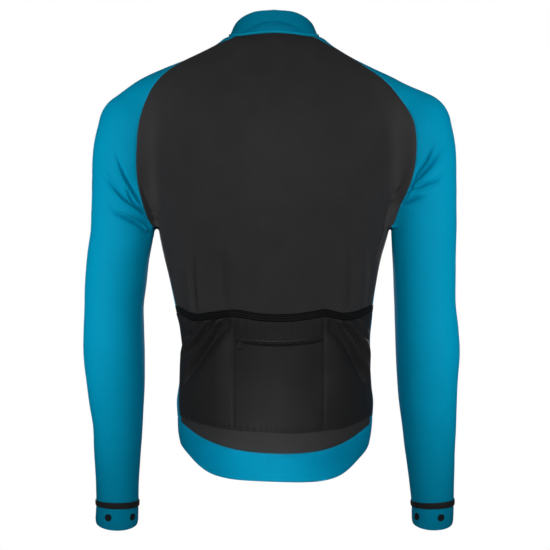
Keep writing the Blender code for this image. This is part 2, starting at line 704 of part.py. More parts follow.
def make_collar(seams):
    """Stand collar with a fold above its foot, and the rolled binding over the neck seam."""
    rim = np.array(COLLAR_RIM, float)
    rim = curve([*rim, *(rim * (-1, 1, 1))[::-1][1:]], spread(ROUND_STEPS))
    ends = [nearest(rim, mirrored((FRONT_EDGE, *COLLAR_RIM[-1][1:]), side)) for side in SIDES]
    rim[ends, 0] = FRONT_EDGE, -FRONT_EDGE
    rim = np.concatenate([rim[: ends[0] + 1][::-1], rim[ends[1] :][::-1]])
    rim = resample(rim, spread(COLLAR_COLUMNS))
    foot = seams["collar_foot"]
    rise = rim - foot
    height = np.linalg.norm(rise, axis=-1, keepdims=True)
    foot = foot + COLLAR_LIFT * rise / height
    fade = smoothstep(*COLLAR_FADE, height)
    shares, stands = np.array(COLLAR_ROWS).T
    flat = foot + shares[:, None, None] * (rim - foot)
    way = normals(flat, np.array(COLLAR_MIDDLE, float))
    outer = flat + stands[:, None, None] * fade * way
    wall("collar", outer, outer - CLOTH * way, "teal")

    up, thickness = np.array(BINDING_ROWS).T[:, :, None, None]
    under = np.interp(up / height, shares, stands) * fade + TRIM_GAP
    inner = foot + up * rise / height + under * way[0]
    wall("collar_binding", inner + thickness * way[0], inner, "teal")


def make_hem(seams):
    """Hem band from zip to zip round the back, its columns those of the panels above."""
    edges = []
    for edge in ("top", "bottom"):
        left = hem_line(front_angle("left", edge), seams["hem_left"], edge, FRONT_COLUMNS)
        back = hem_line(seams["hem_left"], seams["hem_right"], edge, BACK_COLUMNS)
        right = hem_line(seams["hem_right"], front_angle("right", edge), edge, FRONT_COLUMNS)
        edges.append(np.vstack([left, back[1:], right[1:]]))
    top, bottom = edges
    share = np.linspace(0, 1, HEM_ROWS)[:, None, None]
    grid = top * (1 - share) + bottom * share
    grid[1:-1] = settle(grid[1:-1], "trunk")
    lay("hem_band", pull_in(grid, SEAM_GAP / 2, ("bottom",)), "trunk", "teal")


def pocket_angle(side, height):
    """Angle round the trunk of the side seam at a height."""
    depth = np.interp(-height, [-h for _, h in SIDE_SEAM[side]], [d for d, _ in SIDE_SEAM[side]])
    edge = side_point(side, depth + POCKET_SIDE_MARGIN, height)
    return math.atan2(edge[1], edge[0] - trunk_section(height)["middle"])


def back_point(across, height):
    """The trunk's back at places across and heights."""
    read = trunk_section(height)
    share = 1 - (np.abs(across - read["middle"]) / read["half_width"]) ** read["power"]
    depth = read["back"] * np.maximum(share, 0) ** (1 / read["power"])
    return np.stack([across + 0 * depth, depth, height + 0 * depth], axis=-1)


def pocket_places(share_up, columns):
    """One row of pocket points between the side seams, at a share of the way from foot to mouth."""
    share_round = np.linspace(0, 1, columns + 1)
    height = np.full(columns + 1, POCKET_MIDDLE)
    for _ in range(6):
        read = trunk_section(height)
        first = np.array([pocket_angle("left", h) for h in height])
        last = np.array([pocket_angle("right", h) for h in height])
        angle = first + share_round * (last - first)
        x, y = np.cos(angle), np.sin(angle)
        total = np.abs(x / read["half_width"]) ** read["power"] + (y / read["back"]) ** read["power"]
        scale = total ** (-1 / read["power"])
        across = x * scale + read["middle"]
        foot = from_table(across, POCKET, POCKET_COLUMNS, "foot")
        mouth = from_table(across, POCKET, POCKET_COLUMNS, "mouth")
        height = foot + share_up * (mouth - foot)
    return np.stack([across, y * scale, height], axis=-1)


def pocket_lift(grid, share_up):
    """How far the pocket cloth stands off the back: fuller between its seams, with its gathers."""
    fullness = POCKET_FULLNESS * np.sin(math.pi * np.clip(share_up, 0, 1)) ** 0.7
    gathers = folds(grid, POCKET_FOLDS)
    return LAYER_GAP + TRIM + fullness + np.maximum(gathers, 0)


def pocket_zip_lift(points):
    """How far the outer side of the pocket's zip stands off the back."""
    foot = from_table(points[..., 0], POCKET, POCKET_COLUMNS, "foot")
    mouth = from_table(points[..., 0], POCKET, POCKET_COLUMNS, "mouth")
    return pocket_lift(points, (points[..., 2] - foot) / (mouth - foot)) + TRIM_GAP + TRIM


def make_pockets():
    """Pocket cloth over the back, the elastic band along its mouth, and the middle pocket's zip."""
    rows, columns = POCKET_GRID
    shares = np.linspace(0, 1, rows + 1)
    grid = np.array([pocket_places(share, columns) for share in shares])
    lift = pocket_lift(grid, shares[:, None])
    lay("pocket_layer", grid, "trunk", "black", lift, TRIM)
    mouth = pocket_places(1.0, columns)
    heights = np.array([SEAM_GAP, POCKET_BAND_HEIGHT / 2, POCKET_BAND_HEIGHT])[:, None]
    band = np.repeat(mouth[None], len(heights), axis=0)
    band[..., 2] += heights
    band = settle(band, "trunk")
    lay("pocket_band", band, "trunk", "elastic", LAYER_GAP + POCKET_BAND, POCKET_BAND)

    line = np.array(POCKET_ZIP, float)
    across = np.linspace(line[0, 0], line[-1, 0], POCKET_ZIP_CUTS)
    middle = from_table(across, POCKET_ZIP, POCKET_ZIP_COLUMNS, "height")
    half = POCKET_ZIP_WIDTH / 2
    strip = np.array([back_point(across, middle - half), back_point(across, middle + half)])
    lay("pocket_zip", strip, "trunk", "elastic", pocket_zip_lift(strip), TRIM)


def front_line():
    """Middle of the front from the collar's rim to the hem, in the plane between the fronts."""
    neck, rim = np.array(NECK_SEAM[-1], float), np.array(COLLAR_RIM[-1], float)
    end = hem_edge(-math.pi / 2, "bottom")
    collar = np.linspace(rim, neck, 6)
    below = np.linspace(neck, end, ZIP_CUTS)[1:]
    below[:, 1] = FRONT_DEPTH
    below[:, 0] = 0
    below = settle(below, "trunk", (0, 1, 0))
    return np.vstack([collar, below])


def make_front_zip():
    """A strip that fills the gap between the fronts, the hem band's ends and the collar's ends."""
    line = front_line()
    run = np.gradient(line, axis=0)
    way = unit(np.cross(run, (1.0, 0, 0)))
    way = np.where(way[:, 1:2] > 0, -way, way)
    half = (ZIP_WIDTH / 2, 0, 0)
    grid = np.stack([line - half, line + half], axis=1)
    way = np.stack([way, way], axis=1)
    wall("front_zip", grid, grid - CLOTH * way, "elastic")


def box(name, size, centre):
    """A box with rounded edges. Its size and centre are across, up and out."""
    bpy.ops.mesh.primitive_cube_add(size=1)
    made = bpy.context.object
    made.name = name
    made.data.transform(Matrix.Diagonal((*(Vector(size) * MM), 1)))
    made.data.transform(Matrix.Translation(Vector(centre) * MM))
    bevel = made.modifiers.new("round", "BEVEL")
    bevel.width = 0.3 * min(size) * MM
    bevel.segments = 2
    return made


def rod(name, radius, length):
    """A round bar along the hinge's axis."""
    bpy.ops.mesh.primitive_cylinder_add(vertices=ROUND_CUTS, radius=radius * MM, depth=length * MM)
    made = bpy.context.object
    made.name = name
    made.data.transform(Matrix.Rotation(math.pi / 2, 4, "Y"))
    return made


def combine(base, operation, others):
    """A Boolean modifier on base for each of the others, which become hidden helpers."""
    for other in others:
        step = base.modifiers.new(operation.lower(), "BOOLEAN")
        step.operation = operation
        step.object = other
        other.hide_render = True
        other.display_type = "WIRE"
        put(other, "helpers")


def put(made, collection):
    """Moves an object from the scene's own collection to a named one."""
    for old in list(made.users_collection):
        old.objects.unlink(made)
    bpy.data.collections[collection].objects.link(made)


def make_zip_pull(name, base, out):
    """A zip's slider with two ears and a pin, and its pull: both have their origin on the hinge's axis."""
    sizes = ZIP_PULLS[name]
    across, up, thick = sizes["slider"]
    width, length, plate = sizes["pull"]
    eye = PIN + PLAY + EYE_WALL
    pin_out = thick + PLAY + eye
    gap = width + 2 * PLAY

    body = box(name + "_slider", (across, up, thick), (0, -sizes["pin"], thick / 2 - pin_out))
    ear_size = (EAR, 2 * eye, pin_out + EAR_TIP - thick + EAR_ROOT)
    ears = [
        box(name + "_ear" + side, ear_size, (sign * (gap + EAR) / 2, 0, EAR_TIP - ear_size[2] / 2))
        for side, sign in (("_left", 1), ("_right", -1))
    ]
    pin = rod(name + "_pin", PIN, gap + EAR)
    combine(body, "UNION", [*ears, pin])

    pull = box(name + "_pull", (width, length, plate), (0, -length / 2, 0))
    barrel = rod(name + "_barrel", eye, width)
    hole = rod(name + "_hole", PIN + PLAY, 2 * width)
    combine(pull, "UNION", [barrel])
    combine(pull, "DIFFERENCE", [hole])

    out = Vector(out).normalized()
    rise = Vector((0, 0, 1)) - out.z * out
    rise.normalize()
    side = rise.cross(out)
    hinge = bpy.data.objects.new(name + "_hinge", None)
    hinge.location = (Vector(base) + sizes["pin"] * rise + pin_out * out) * MM
    hinge.rotation_euler = Matrix((side, rise, out)).transposed().to_euler()
    bpy.data.collections[JACKET].objects.link(hinge)
    for piece in (body, *ears, pin, pull, barrel, hole):
        piece.parent = hinge
    for piece in (body, pull):
        put(piece, JACKET)
        piece.data.materials.append(finish(piece.name, "metal"))


def make_zip_pulls():
    line = front_line()
    place = line[np.argmin(np.abs(line[:, 2] - SLIDER_HEIGHT))]
    make_zip_pull("front", place - (0, SEAM_GAP, 0), (0, -1, 0))

    height = from_table(POCKET_SLIDER_ACROSS, POCKET_ZIP, POCKET_ZIP_COLUMNS, "height")
    place = back_point(np.array([POCKET_SLIDER_ACROSS], float), height)
    out = outward(place, "trunk")
    place += (pocket_zip_lift(place)[:, None] + SEAM_GAP) * out
    make_zip_pull("pocket", place[0], out[0])


def main():
    for old in list(bpy.data.objects):
        bpy.data.objects.remove(old)
    for name in (JACKET, "helpers"):
        bpy.context.scene.collection.children.link(bpy.data.collections.new(name))
    seams = make_seams()
    make_trunk(seams)
    make_sleeves(seams)
    make_collar(seams)
    make_hem(seams)
    make_pockets()
    make_front_zip()
    make_zip_pulls()


main()
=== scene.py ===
import math

import bpy
import numpy as np
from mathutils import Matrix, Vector


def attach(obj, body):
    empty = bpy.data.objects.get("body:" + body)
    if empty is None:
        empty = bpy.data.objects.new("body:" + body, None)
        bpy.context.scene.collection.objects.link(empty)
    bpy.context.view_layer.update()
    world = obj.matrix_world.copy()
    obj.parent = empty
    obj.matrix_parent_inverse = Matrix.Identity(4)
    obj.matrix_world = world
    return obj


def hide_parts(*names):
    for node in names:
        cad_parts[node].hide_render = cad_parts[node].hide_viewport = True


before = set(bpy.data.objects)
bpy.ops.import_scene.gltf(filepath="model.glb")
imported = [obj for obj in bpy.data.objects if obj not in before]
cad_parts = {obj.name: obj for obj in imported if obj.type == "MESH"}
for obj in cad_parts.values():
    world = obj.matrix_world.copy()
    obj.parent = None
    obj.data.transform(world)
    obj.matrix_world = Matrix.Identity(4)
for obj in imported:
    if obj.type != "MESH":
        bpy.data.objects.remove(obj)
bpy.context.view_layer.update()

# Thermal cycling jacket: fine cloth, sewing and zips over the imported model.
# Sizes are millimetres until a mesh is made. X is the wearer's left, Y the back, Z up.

mm = 0.001
sides = ("left", "right")
seamGap = 0.12  # between neighbouring panels, closed to the eye by their rolled edges
clothWall = 1.5
trimWall = 1.2
layerGap = 0.7

# The figure that the cloth follows

figure = {
    "trunkColumns": ("height", "halfWidth", "middle", "back", "front", "power"),
    "trunk": (
        (24, 44, 0, 44, 2, 1.7),
        (5.5, 65.5, 0.5, 53, 13, 1.7),
        (1.5, 74.5, 0.5, 55.5, 17, 1.7),
        (-3, 80.5, 0.5, 57.5, 21, 1.7),
        (-8, 87, 1, 60, 25, 1.75),
        (-17, 102.5, 2.5, 65, 32, 1.85),
        (-30, 127, 5, 72, 40, 2.0),
        (-45, 160, 8, 80, 47, 2.0),
        (-60, 192, 8, 87, 55, 2.0),
        (-78, 212, 4, 93, 64, 2.0),
        (-100, 206, 0, 100, 80, 2.1),
        (-140, 194, 0, 107, 101, 2.2),
        (-180, 187, 0, 111, 112, 2.3),
        (-240, 178, 0, 110, 118, 2.3),
        (-288, 172, 0.5, 105, 116, 2.3),
        (-324, 163, 2, 100, 112, 2.3),
        (-360, 155, 1, 95, 108, 2.3),
        (-396, 148.5, 0, 91, 105, 2.3),
        (-420, 145, -1.5, 89, 103, 2.3),
        (-444, 141, -3, 88, 102, 2.3),
        (-468, 141, -3, 89, 102, 2.3),
        (-492, 142, -2, 91, 103, 2.2),
        (-516, 144, -1.5, 94, 105, 2.2),
        (-540, 147, -1.5, 98, 107, 2.1),
        (-564, 146, -1.5, 101, 108, 2.1),
        (-590, 144, -1, 103, 108, 2.1),
        (-605, 141, -1, 104, 108, 2.1),
        (-625, 137, -0.5, 104, 107, 2.1),
        (-680, 133, 0, 102, 106, 2.1),
    ),
    "armColumns": ("height", "depth", "leftX", "leftRadius", "rightX", "rightRadius"),
    "arm": (
        (-131, 2, 210.5, 52, -212.5, 53),
        (-165, 3, 218, 52, -219.5, 52.5),
        (-210, 4, 222, 50.5, -222, 51),
        (-255, 5, 224.5, 48.5, -223.5, 49.8),
        (-288, 6, 227, 47.3, -224.2, 48.8),
        (-324, 8, 232.5, 46.5, -224.2, 47.3),
        (-360, 8, 236, 45.8, -225, 46.5),
        (-396, 7, 239, 44.3, -225.8, 45.8),
        (-435, 5, 239.6, 45.2, -228.5, 47.5),
        (-470, 3, 239.3, 45.7, -230.2, 47.9),
        (-504, 0, 237.8, 44.3, -230.2, 45.8),
        (-540, -4, 236.4, 41.3, -231, 43.5),
        (-577, -9, 234.8, 37.6, -233.3, 40.6),
        (-614, -14, 236, 35.5, -235.3, 37.7),
        (-662, -20, 236.7, 32.6, -238.1, 34),
        (-703, -25, 237.1, 31.8, -240.2, 31.6),
        (-726, -29, 238.4, 32, -240.2, 31),
    ),
    "armCuts": 70,
    "blendShoulder": 26,  # width of the soft join of arm and trunk
    "blendArmpit": 22,
    "armpitHeight": -281,
}


def column(table, names, name):  # one named column of a table
    return np.array([row[names.index(name)] for row in table], float)


def smoothValue(at, knots, values):
    # cubic through the knots: two blended end values plus two blended end slopes on each span
    order = np.argsort(knots)
    knots, values = np.asarray(knots, float)[order], np.asarray(values, float)[order]
    slopes = np.gradient(values, knots)
    at = np.clip(at, knots[0], knots[-1])
    i = np.clip(np.searchsorted(knots, at) - 1, 0, len(knots) - 2)
    width = knots[i + 1] - knots[i]
    t = (at - knots[i]) / width
    ends = values[i] * (1 + 2 * t) * (1 - t) ** 2 + values[i + 1] * t**2 * (3 - 2 * t)
    return ends + width * (slopes[i] * t * (1 - t) ** 2 - slopes[i + 1] * t**2 * (1 - t))


def fromTable(at, table, names, name):  # smooth value of a column at places along the first column
    return smoothValue(at, column(table, names, names[0]), column(table, names, name))


def smoothStep(low, high, value):  # 0 below low, 1 above high, 3t2 - 2t3 between
    t = np.clip((value - low) / (high - low), 0, 1)
    return t * t * (3 - 2 * t)


def bell(value, width):  # 1 at nought, falling as e to the minus square of value over width
    return np.exp(-((value / width) ** 2))


def spread(steps, first=1.0, last=1.0):  # shares from 0 to 1 whose first and last steps are shorter
    place = np.linspace(0, 1, steps)
    step = np.interp(place, (0, 0.4, 0.6, 1), (first, 1, 1, last))
    return np.concatenate([[0], np.cumsum(step) / step.sum()])


def lengths(grid, axis=0):  # length run from the first point, along a line or along a grid's columns (0) or rows (1)
    step = np.linalg.norm(np.diff(grid, axis=axis), axis=-1)
    start = np.zeros_like(np.take(step, [0], axis=axis))
    return np.concatenate([start, np.cumsum(step, axis=axis)], axis=axis)


def along(line):  # share of a line's length at each point
    length = lengths(line)
    return length / length[-1]


def resample(line, shares):  # the same line at shares of its length
    return np.stack([np.interp(shares, along(line), line[:, k]) for k in range(3)], axis=1)


def curve(points, shares):  # smooth curve through a few points, read at shares of its length
    points = np.asarray(points, float)
    knots = along(points)
    at = np.linspace(0, 1, 60 * len(points))
    return resample(np.stack([smoothValue(at, knots, points[:, k]) for k in range(3)], axis=1), shares)


def unit(ways):
    return ways / np.maximum(np.linalg.norm(ways, axis=-1, keepdims=True), 1e-9)


def mirrored(points, side):
    return np.asarray(points, float) * ((1, 1, 1) if side == "left" else (-1, 1, 1))


def nearest(line, point):
    return int(np.argmin(np.linalg.norm(line - np.asarray(point, float), axis=1)))


def trunkSection(height):
    names = figure["trunkColumns"]
    return {name: fromTable(height, figure["trunk"], names, name) for name in names[1:]}


def atAngle(angle, height):  # where a ray from the trunk's middle meets its section, across and in depth
    read, x, y = trunkSection(height), np.cos(angle), np.sin(angle)
    deep = np.where(y > 0, read["back"], read["front"])
    total = np.abs(x / read["halfWidth"]) ** read["power"] + np.abs(y / deep) ** read["power"]
    scale = total ** (-1 / read["power"])
    return x * scale + read["middle"], y * scale


def halfChord(reach, deep, place, power):  # one coordinate of a superellipse, solved from the other
    return reach * np.maximum(1 - (np.abs(place) / deep) ** power, 0) ** (1 / power)


def armLine(side):  # centre points and radii along one arm, a little past the cuff
    names = figure["armColumns"]
    heights = column(figure["arm"], names, "height")
    height = np.linspace(heights[0], heights[-1], figure["armCuts"])
    read = {name: fromTable(height, figure["arm"], names, name) for name in names[1:]}
    centre = np.stack([read[side + "X"], read["depth"], height], axis=1)
    beyond = centre[-1] + 4 * (centre[-1] - centre[-3])
    return np.vstack([centre, beyond]), np.append(read[side + "Radius"], read[side + "Radius"][-1])


armLines = {side: armLine(side) for side in sides}


def trunkField(points):
    # superellipse: the root of (x/a)^p + (y/b)^p, less one, times the reach there
    x, y = points[..., 0], points[..., 1]
    read = trunkSection(points[..., 2])
    deep = np.where(y > 0, read["back"], read["front"])
    across = (np.abs(x - read["middle"]) / read["halfWidth"]) ** read["power"]
    inward = (np.abs(y) / deep) ** read["power"]
    total = across + inward + 1e-9
    reach = (across * read["halfWidth"] + inward * deep) / total
    return (total ** (1 / read["power"]) - 1) * reach


def armField(points, side):
    # distance to the nearest stretch of the arm's centre line, less the radius there; only the
    # stretches near a point's own height are tried
    centre, radius = armLines[side]
    start, step = centre[:-1], np.diff(centre, axis=0)
    length, swell = (step**2).sum(-1), np.diff(radius)
    flat = points.reshape(-1, 3)
    level = np.searchsorted(-centre[:, 2], -flat[:, 2]) - 1
    best = np.full(len(flat), 1e9)
    for near in range(-4, 5):
        i = np.clip(level + near, 0, len(start) - 1)
        away = flat - start[i]
        t = np.clip((away * step[i]).sum(-1) / length[i], 0, 1)
        away = away - t[:, None] * step[i]
        gap = np.sqrt((away * away).sum(-1)) - radius[i] - t * swell[i]
        best = np.minimum(best, gap)
    return best.reshape(points.shape[:-1])


def softUnion(a, b, width):  # the smaller of two distances, rounded by a parabola where they are near
    near = np.maximum(width - np.abs(a - b), 0) / width
    return np.minimum(a, b) - near**2 * width / 4


def figureField(points, part):  # trunk and arms joined above the armpits, the named part alone below
    height = points[..., 2]
    low = figure["armpitHeight"]
    rise = smoothStep(low, low + 90, height)
    width = figure["blendArmpit"] + (figure["blendShoulder"] - figure["blendArmpit"]) * rise
    apart = 4 * np.maximum(low - 1 - height, 0)
    trunk = trunkField(points)
    if part == "trunk":
        arms = np.where(points[..., 0] > 0, armField(points, "left"), armField(points, "right"))
        return softUnion(trunk, arms + apart, width)
    return softUnion(armField(points, part), trunk + apart, width)


def slope(points, part):
    steps = np.eye(3) * 0.5
    return np.stack([figureField(points + s, part) - figureField(points - s, part) for s in steps], axis=-1)


def settle(points, part, free=(1, 1, 1), rounds=5):  # Newton steps on to the figure; low values of free hold a point
    points = np.array(points, float)
    for _ in range(rounds):
        gradient = slope(points, part)
        move = gradient * free
        share = np.maximum((gradient * move).sum(-1), 1e-6)
        points -= move * (figureField(points, part) / share)[..., None]
    return points


def outward(points, part):
    return unit(slope(points, part))


# Seams

seamLines = {
    "backRaglan": {
        "left": (
            (55, 38, 2), (66, 27, -2.7), (77, 16, -6), (89, 5, -10), (105, 1, -19), (123, 4, -30),
            (151.5, 25, -48), (181, 42, -80), (197.7, 50, -125),
            (201.7, 54, -169), (200.5, 52, -213), (192, 44, -250), (183, 22, -276), (176.5, 4, -286),
        ),
        "right": (
            (-55, 38, 2), (-67, 28, -2), (-73, 22, -5.5), (-80.5, 17, -9), (-97, 14, -17.5), (-113, 14, -27),
            (-138, 25, -46.5), (-176, 42, -80), (-204.5, 50, -125),
            (-209, 54, -169), (-202, 52, -213), (-185, 42, -253), (-178, 20, -276), (-174.5, 4, -286),
        ),
    },
    "frontRaglan": (
        (58, -28, -18), (92, -42, -40), (132, -50, -74), (163, -58, -116), (181, -58, -160),
        (188, -54, -205), (187, -42, -245), (182, -20, -274),
    ),
    "overArm": (
        (67, 4, 3), (121, 0, -27), (170, 2, -45), (215, 3, -66), (246, 3, -92), (261, 3, -122),
        (269, 3, -162), (273.5, 4, -220), (274.5, 6, -286),
    ),
    "armCore": (
        (60, 2, -30), (121, 0, -66), (165, 2, -98), (195, 2, -120), (206, 2, -136), (217, 3, -168),
        (222, 4, -212), (225, 5, -255), (227, 6, -286),
    ),
    "side": {
        "left": ((3, -302), (8, -340), (18, -390), (27, -425), (38, -456), (34, -485), (33, -520), (31, -569)),
        "right": ((3, -302), (8, -340), (17, -390), (28, -425), (32, -456), (27, -485), (24, -520), (25, -568)),
    },
    "neck": (
        (0, 54, 4.3), (33, 49, 3.6), (53, 36, 2.6), (62.5, 22, 3.4), (65.5, 7, 4.6), (64.5, -6, 2),
        (62, -15, -5), (57, -28, -18), (45, -43, -38), (25, -56, -60), (0, -62, -71),
    ),
    "frontEdge": 4.3,  # half of the gap that the front zip fills
}
hemLevels = {
    "columns": ("depth", "top", "bottom"),
    "rows": (
        (-110, -548, -586), (-60, -556, -595), (0, -565, -604), (28, -569, -609), (46, -574.5, -618),
        (60, -582, -628.5), (76, -592, -640), (93, -602.5, -647.5), (105, -609.5, -650),
    ),
    "drop": 5,  # how much lower the right half of the tail hangs
}
cuts = {  # steps of the fine grids
    "raglan": 170, "side": 96, "ear": 30, "back": 176, "front": 60, "sleeve": 184, "arm": 88, "collar": 224,
}
raglanSpread = spread(cuts["raglan"], 0.35, 0.35)
sideSpread = spread(cuts["side"], 0.35)
armSpread = spread(cuts["arm"], 0.35)
sleeveSpread = spread(cuts["sleeve"], 0.45, 0.45)  # finest beside the seams, where the folds start


def seamOnFigure(points, shares, start, end):
    line = settle(curve(points, spread(300)), "trunk", (0.05, 1, 0.05))
    line[0], line[-1] = start, end
    return resample(line, shares)


def sidePoint(side, depth, height):  # the superellipse solved for the half width at a depth
    read = trunkSection(height)
    deep = read["back"] if depth > 0 else read["front"]
    reach = halfChord(read["halfWidth"], deep, depth, read["power"])
    return np.array([read["middle"] + (reach if side == "left" else -reach), depth, height])


def hemEdge(angle, edge):  # a point of the band's edge at angles round the trunk, its height found in a few rounds
    height = np.full(np.shape(angle), column(hemLevels["rows"], hemLevels["columns"], edge).mean())
    for _ in range(10):
        across, depth = atAngle(angle, height)
        drop = hemLevels["drop"] * smoothStep(30, -110, across) * smoothStep(0, 30, depth)
        height = fromTable(depth, hemLevels["rows"], hemLevels["columns"], edge) - drop
    return np.stack([across, depth, height], axis=-1)


def frontAngle(side, edge):
    x, y, _ = hemEdge(-math.pi / 2, edge)
    if side == "left":
        return math.atan2(y, seamLines["frontEdge"] - x)
    return math.atan2(y, -seamLines["frontEdge"] - x) + 2 * math.pi


def hemLine(start, end, edge, columns):
    return hemEdge(np.linspace(start, end, columns + 1), edge)


def neckRound():
    left = np.array(seamLines["neck"], float)
    right = (left * (-1, 1, 1))[::-1]
    return settle(curve([*left, *right[1:]], spread(900)), "trunk", (0.3, 1, 0.3))


def makeSeams():
    neck = neckRound()
    seams, marks = {}, {}
    for side in sides:
        marks["back" + side] = nearest(neck, seamLines["backRaglan"][side][0])
        marks["front" + side] = nearest(neck, mirrored(seamLines["frontRaglan"][0], side))
        edge = mirrored((seamLines["frontEdge"], *seamLines["neck"][-1][1:]), side)
        marks["edge" + side] = nearest(neck, edge)
        neck[marks["edge" + side], 0] = edge[0]
        armpit = settle(np.array([seamLines["backRaglan"][side][-1]], float), "trunk", (0, 0, 1))[0]
        top = neck[marks["back" + side]]
        seams["back" + side] = seamOnFigure(seamLines["backRaglan"][side], raglanSpread, top, armpit)
        top = neck[marks["front" + side]]
        line = [*mirrored(seamLines["frontRaglan"], side), armpit]
        seams["front" + side] = seamOnFigure(line, raglanSpread, top, armpit)
        low = [sidePoint(side, depth, height) for depth, height in seamLines["side"][side]]
        middle = trunkSection(low[-1][2])["middle"]
        seams["hem" + side] = math.atan2(low[-1][1], low[-1][0] - middle)
        foot = hemEdge(seams["hem" + side], "top")
        seams["side" + side] = seamOnFigure([armpit, *low[:-1], foot], sideSpread, armpit, foot)

    def rear(mark):  # round the back from one side's mark to the other's
        return np.concatenate([neck[: marks[mark + "left"] + 1][::-1], neck[marks[mark + "right"] :][::-1]])

    middle = resample(rear("back"), spread(cuts["back"] - 2 * cuts["ear"]))
    left, right = (seams["back" + side][1 : cuts["ear"] + 1] for side in sides)
    seams["backTop"] = np.vstack([left[::-1], middle, right])
    sleeve, front = sleeveSpread, spread(cuts["front"])
    seams["neckSleeveleft"] = resample(neck[marks["backleft"] : marks["frontleft"] + 1], sleeve)
    seams["neckSleeveright"] = resample(neck[marks["frontright"] : marks["backright"] + 1][::-1], sleeve)
    seams["neckFrontleft"] = resample(neck[marks["frontleft"] : marks["edgeleft"] + 1], front)
    seams["neckFrontright"] = resample(neck[marks["edgeright"] : marks["frontright"] + 1][::-1], front)
    seams["collarFoot"] = resample(rear("edge"), spread(cuts["collar"]))
    return seams


# Grids


def coons(bottom, top, first, last):  # the two ruled surfaces of four edges, less the plane of their corners
    v = ((along(first) + along(last)) / 2)[:, None, None]
    u = ((along(bottom) + along(top)) / 2)[None, :, None]
    ruled = (1 - v) * bottom[None] + v * top[None] + (1 - u) * first[:, None] + u * last[:, None]
    low = (1 - u) * bottom[0] + u * bottom[-1]
    high = (1 - u) * top[0] + u * top[-1]
    return ruled - (1 - v) * low - v * high


def fromEdge(grid, edge):  # a view of the same grid whose first column is the named edge
    grid = grid.swapaxes(0, 1) if edge in ("bottom", "top") else grid
    return grid[:, ::-1] if edge in ("last", "top") else grid


def pullIn(grid, amount, edges):  # edges moved inwards, square to themselves
    moved = grid.copy()
    for edge in edges:
        seen = fromEdge(grid, edge)
        way, run = seen[:, 1] - seen[:, 0], unit(np.gradient(seen[:, 0], axis=0))
        fromEdge(moved, edge)[:, 0] += amount * unit(way - (way * run).sum(-1, keepdims=True) * run)
    return moved


def fillPanel(bottom, top, first, last):
    grid = coons(bottom, top, first, last)
    grid[1:-1, 1:-1] = settle(grid[1:-1, 1:-1], "trunk")
    return grid


def ring(side, height, lean=0.0, columns=None):  # cosine out and sine back round the arm's centre
    centre, radius = armLines[side]
    heights = -centre[:, 2]

    def at(level):
        return np.array([np.interp(-level, heights, centre[:, k]) for k in range(3)])

    middle = at(height)
    reach = np.interp(-height, heights, radius)
    ahead = unit(at(height - 8) - at(height + 8))
    out = mirrored((1, 0, 0), side)
    out = unit(out - out.dot(ahead) * ahead)
    back = unit(np.array((0, 1, 0)) - ahead[1] * ahead)
    turn = sleeveSpread if columns is None else np.linspace(0, 1, columns + 1)
    angle = math.pi * (1 - 2 * turn)[:, None]
    tilt = math.tan(math.radians(lean)) * ahead
    return middle + reach * (np.cos(angle) * out + np.sin(angle) * (back + tilt))


def overShoulder(back, top, front, core):  # angle and reach round the core, blended by three parabolas
    up = unit(top - core)
    rear = unit(np.array((0, 1, 0)) - up[1] * up)
    run = np.cross(up, rear)
    ends = []
    for point, sign in ((back, 1), (front, -1)):
        arm = point - core
        angle = math.atan2(max(sign * arm.dot(rear), 0.001), arm.dot(up))
        ends.append((angle, math.hypot(arm.dot(rear), arm.dot(up)), arm.dot(run)))
    u = sleeveSpread[:, None]
    atBack, atTop, atFront = 2 * (u - 0.5) * (u - 1), 4 * u * (1 - u), 2 * u * (u - 0.5)
    angle = (1 - u) * ends[0][0] - u * ends[1][0]
    reach = atBack * ends[0][1] + atTop * np.linalg.norm(top - core) + atFront * ends[1][1]
    shift = atBack * ends[0][2] + atFront * ends[1][2]
    return core + reach * (np.cos(angle) * up + np.sin(angle) * rear) + shift * run


wrist = {"ringTop": (-691.5, -4), "ringBottom": (-700.2, -4), "cuffEnd": (-726.5, 7)}  # height along the arm, lean


def sleeveGrid(side, seams):  # rows over the shoulder, then rings to the wrist
    tops = curve(mirrored(seamLines["overArm"], side), raglanSpread)
    cores = curve(mirrored(seamLines["armCore"], side), raglanSpread)
    back, front = seams["back" + side], seams["front" + side]
    rows = [seams["neckSleeve" + side]]
    rows += [overShoulder(back[r], tops[r], front[r], cores[r]) for r in range(1, cuts["raglan"] + 1)]
    grid = np.array(rows)
    grid[1:] = settle(grid[1:], side)
    grid[1:, 0], grid[1:, -1] = back[1:], front[1:]
    grid = pullIn(grid, seamGap / 2, ("first", "last", "bottom"))
    end, lean = wrist["ringBottom"]
    heights = figure["armpitHeight"] + (end - figure["armpitHeight"]) * armSpread
    rings = [ring(side, h, lean * smoothStep(-500, end, h)) for h in heights[1:]]
    grid = np.concatenate([grid, np.array(rings)])
    armpit, below = back[-1], grid[cuts["raglan"] + 1, 0]
    grid[cuts["raglan"], 0] = grid[cuts["raglan"], -1] = armpit + 2 * seamGap * unit(below - armpit)
    return grid


def flatPlace(grid):  # each point's place on the flat cloth: lengths summed along its row and its column
    u, v = lengths(grid, 1), lengths(grid, 0)
    return np.stack([u - u[:, -1:] / 2, v], axis=-1)


def edgeRoll(grid, depth, width, edges):
    # cloth dips by a bell of the distance from its sewn edges, as a turned seam pulls it in
    total = np.zeros(grid.shape[:-1])
    for edge in edges:
        seen = fromEdge(total, edge)
        seen[:] = np.minimum(seen, -depth * bell(lengths(fromEdge(grid, edge), 1), width))
    return total


# Folds

foldShape = {"power": 1.15, "ridge": (1.7, 1.1), "root": (-0.02, 0.12), "tip": (0.55, 1.0), "start": 60}


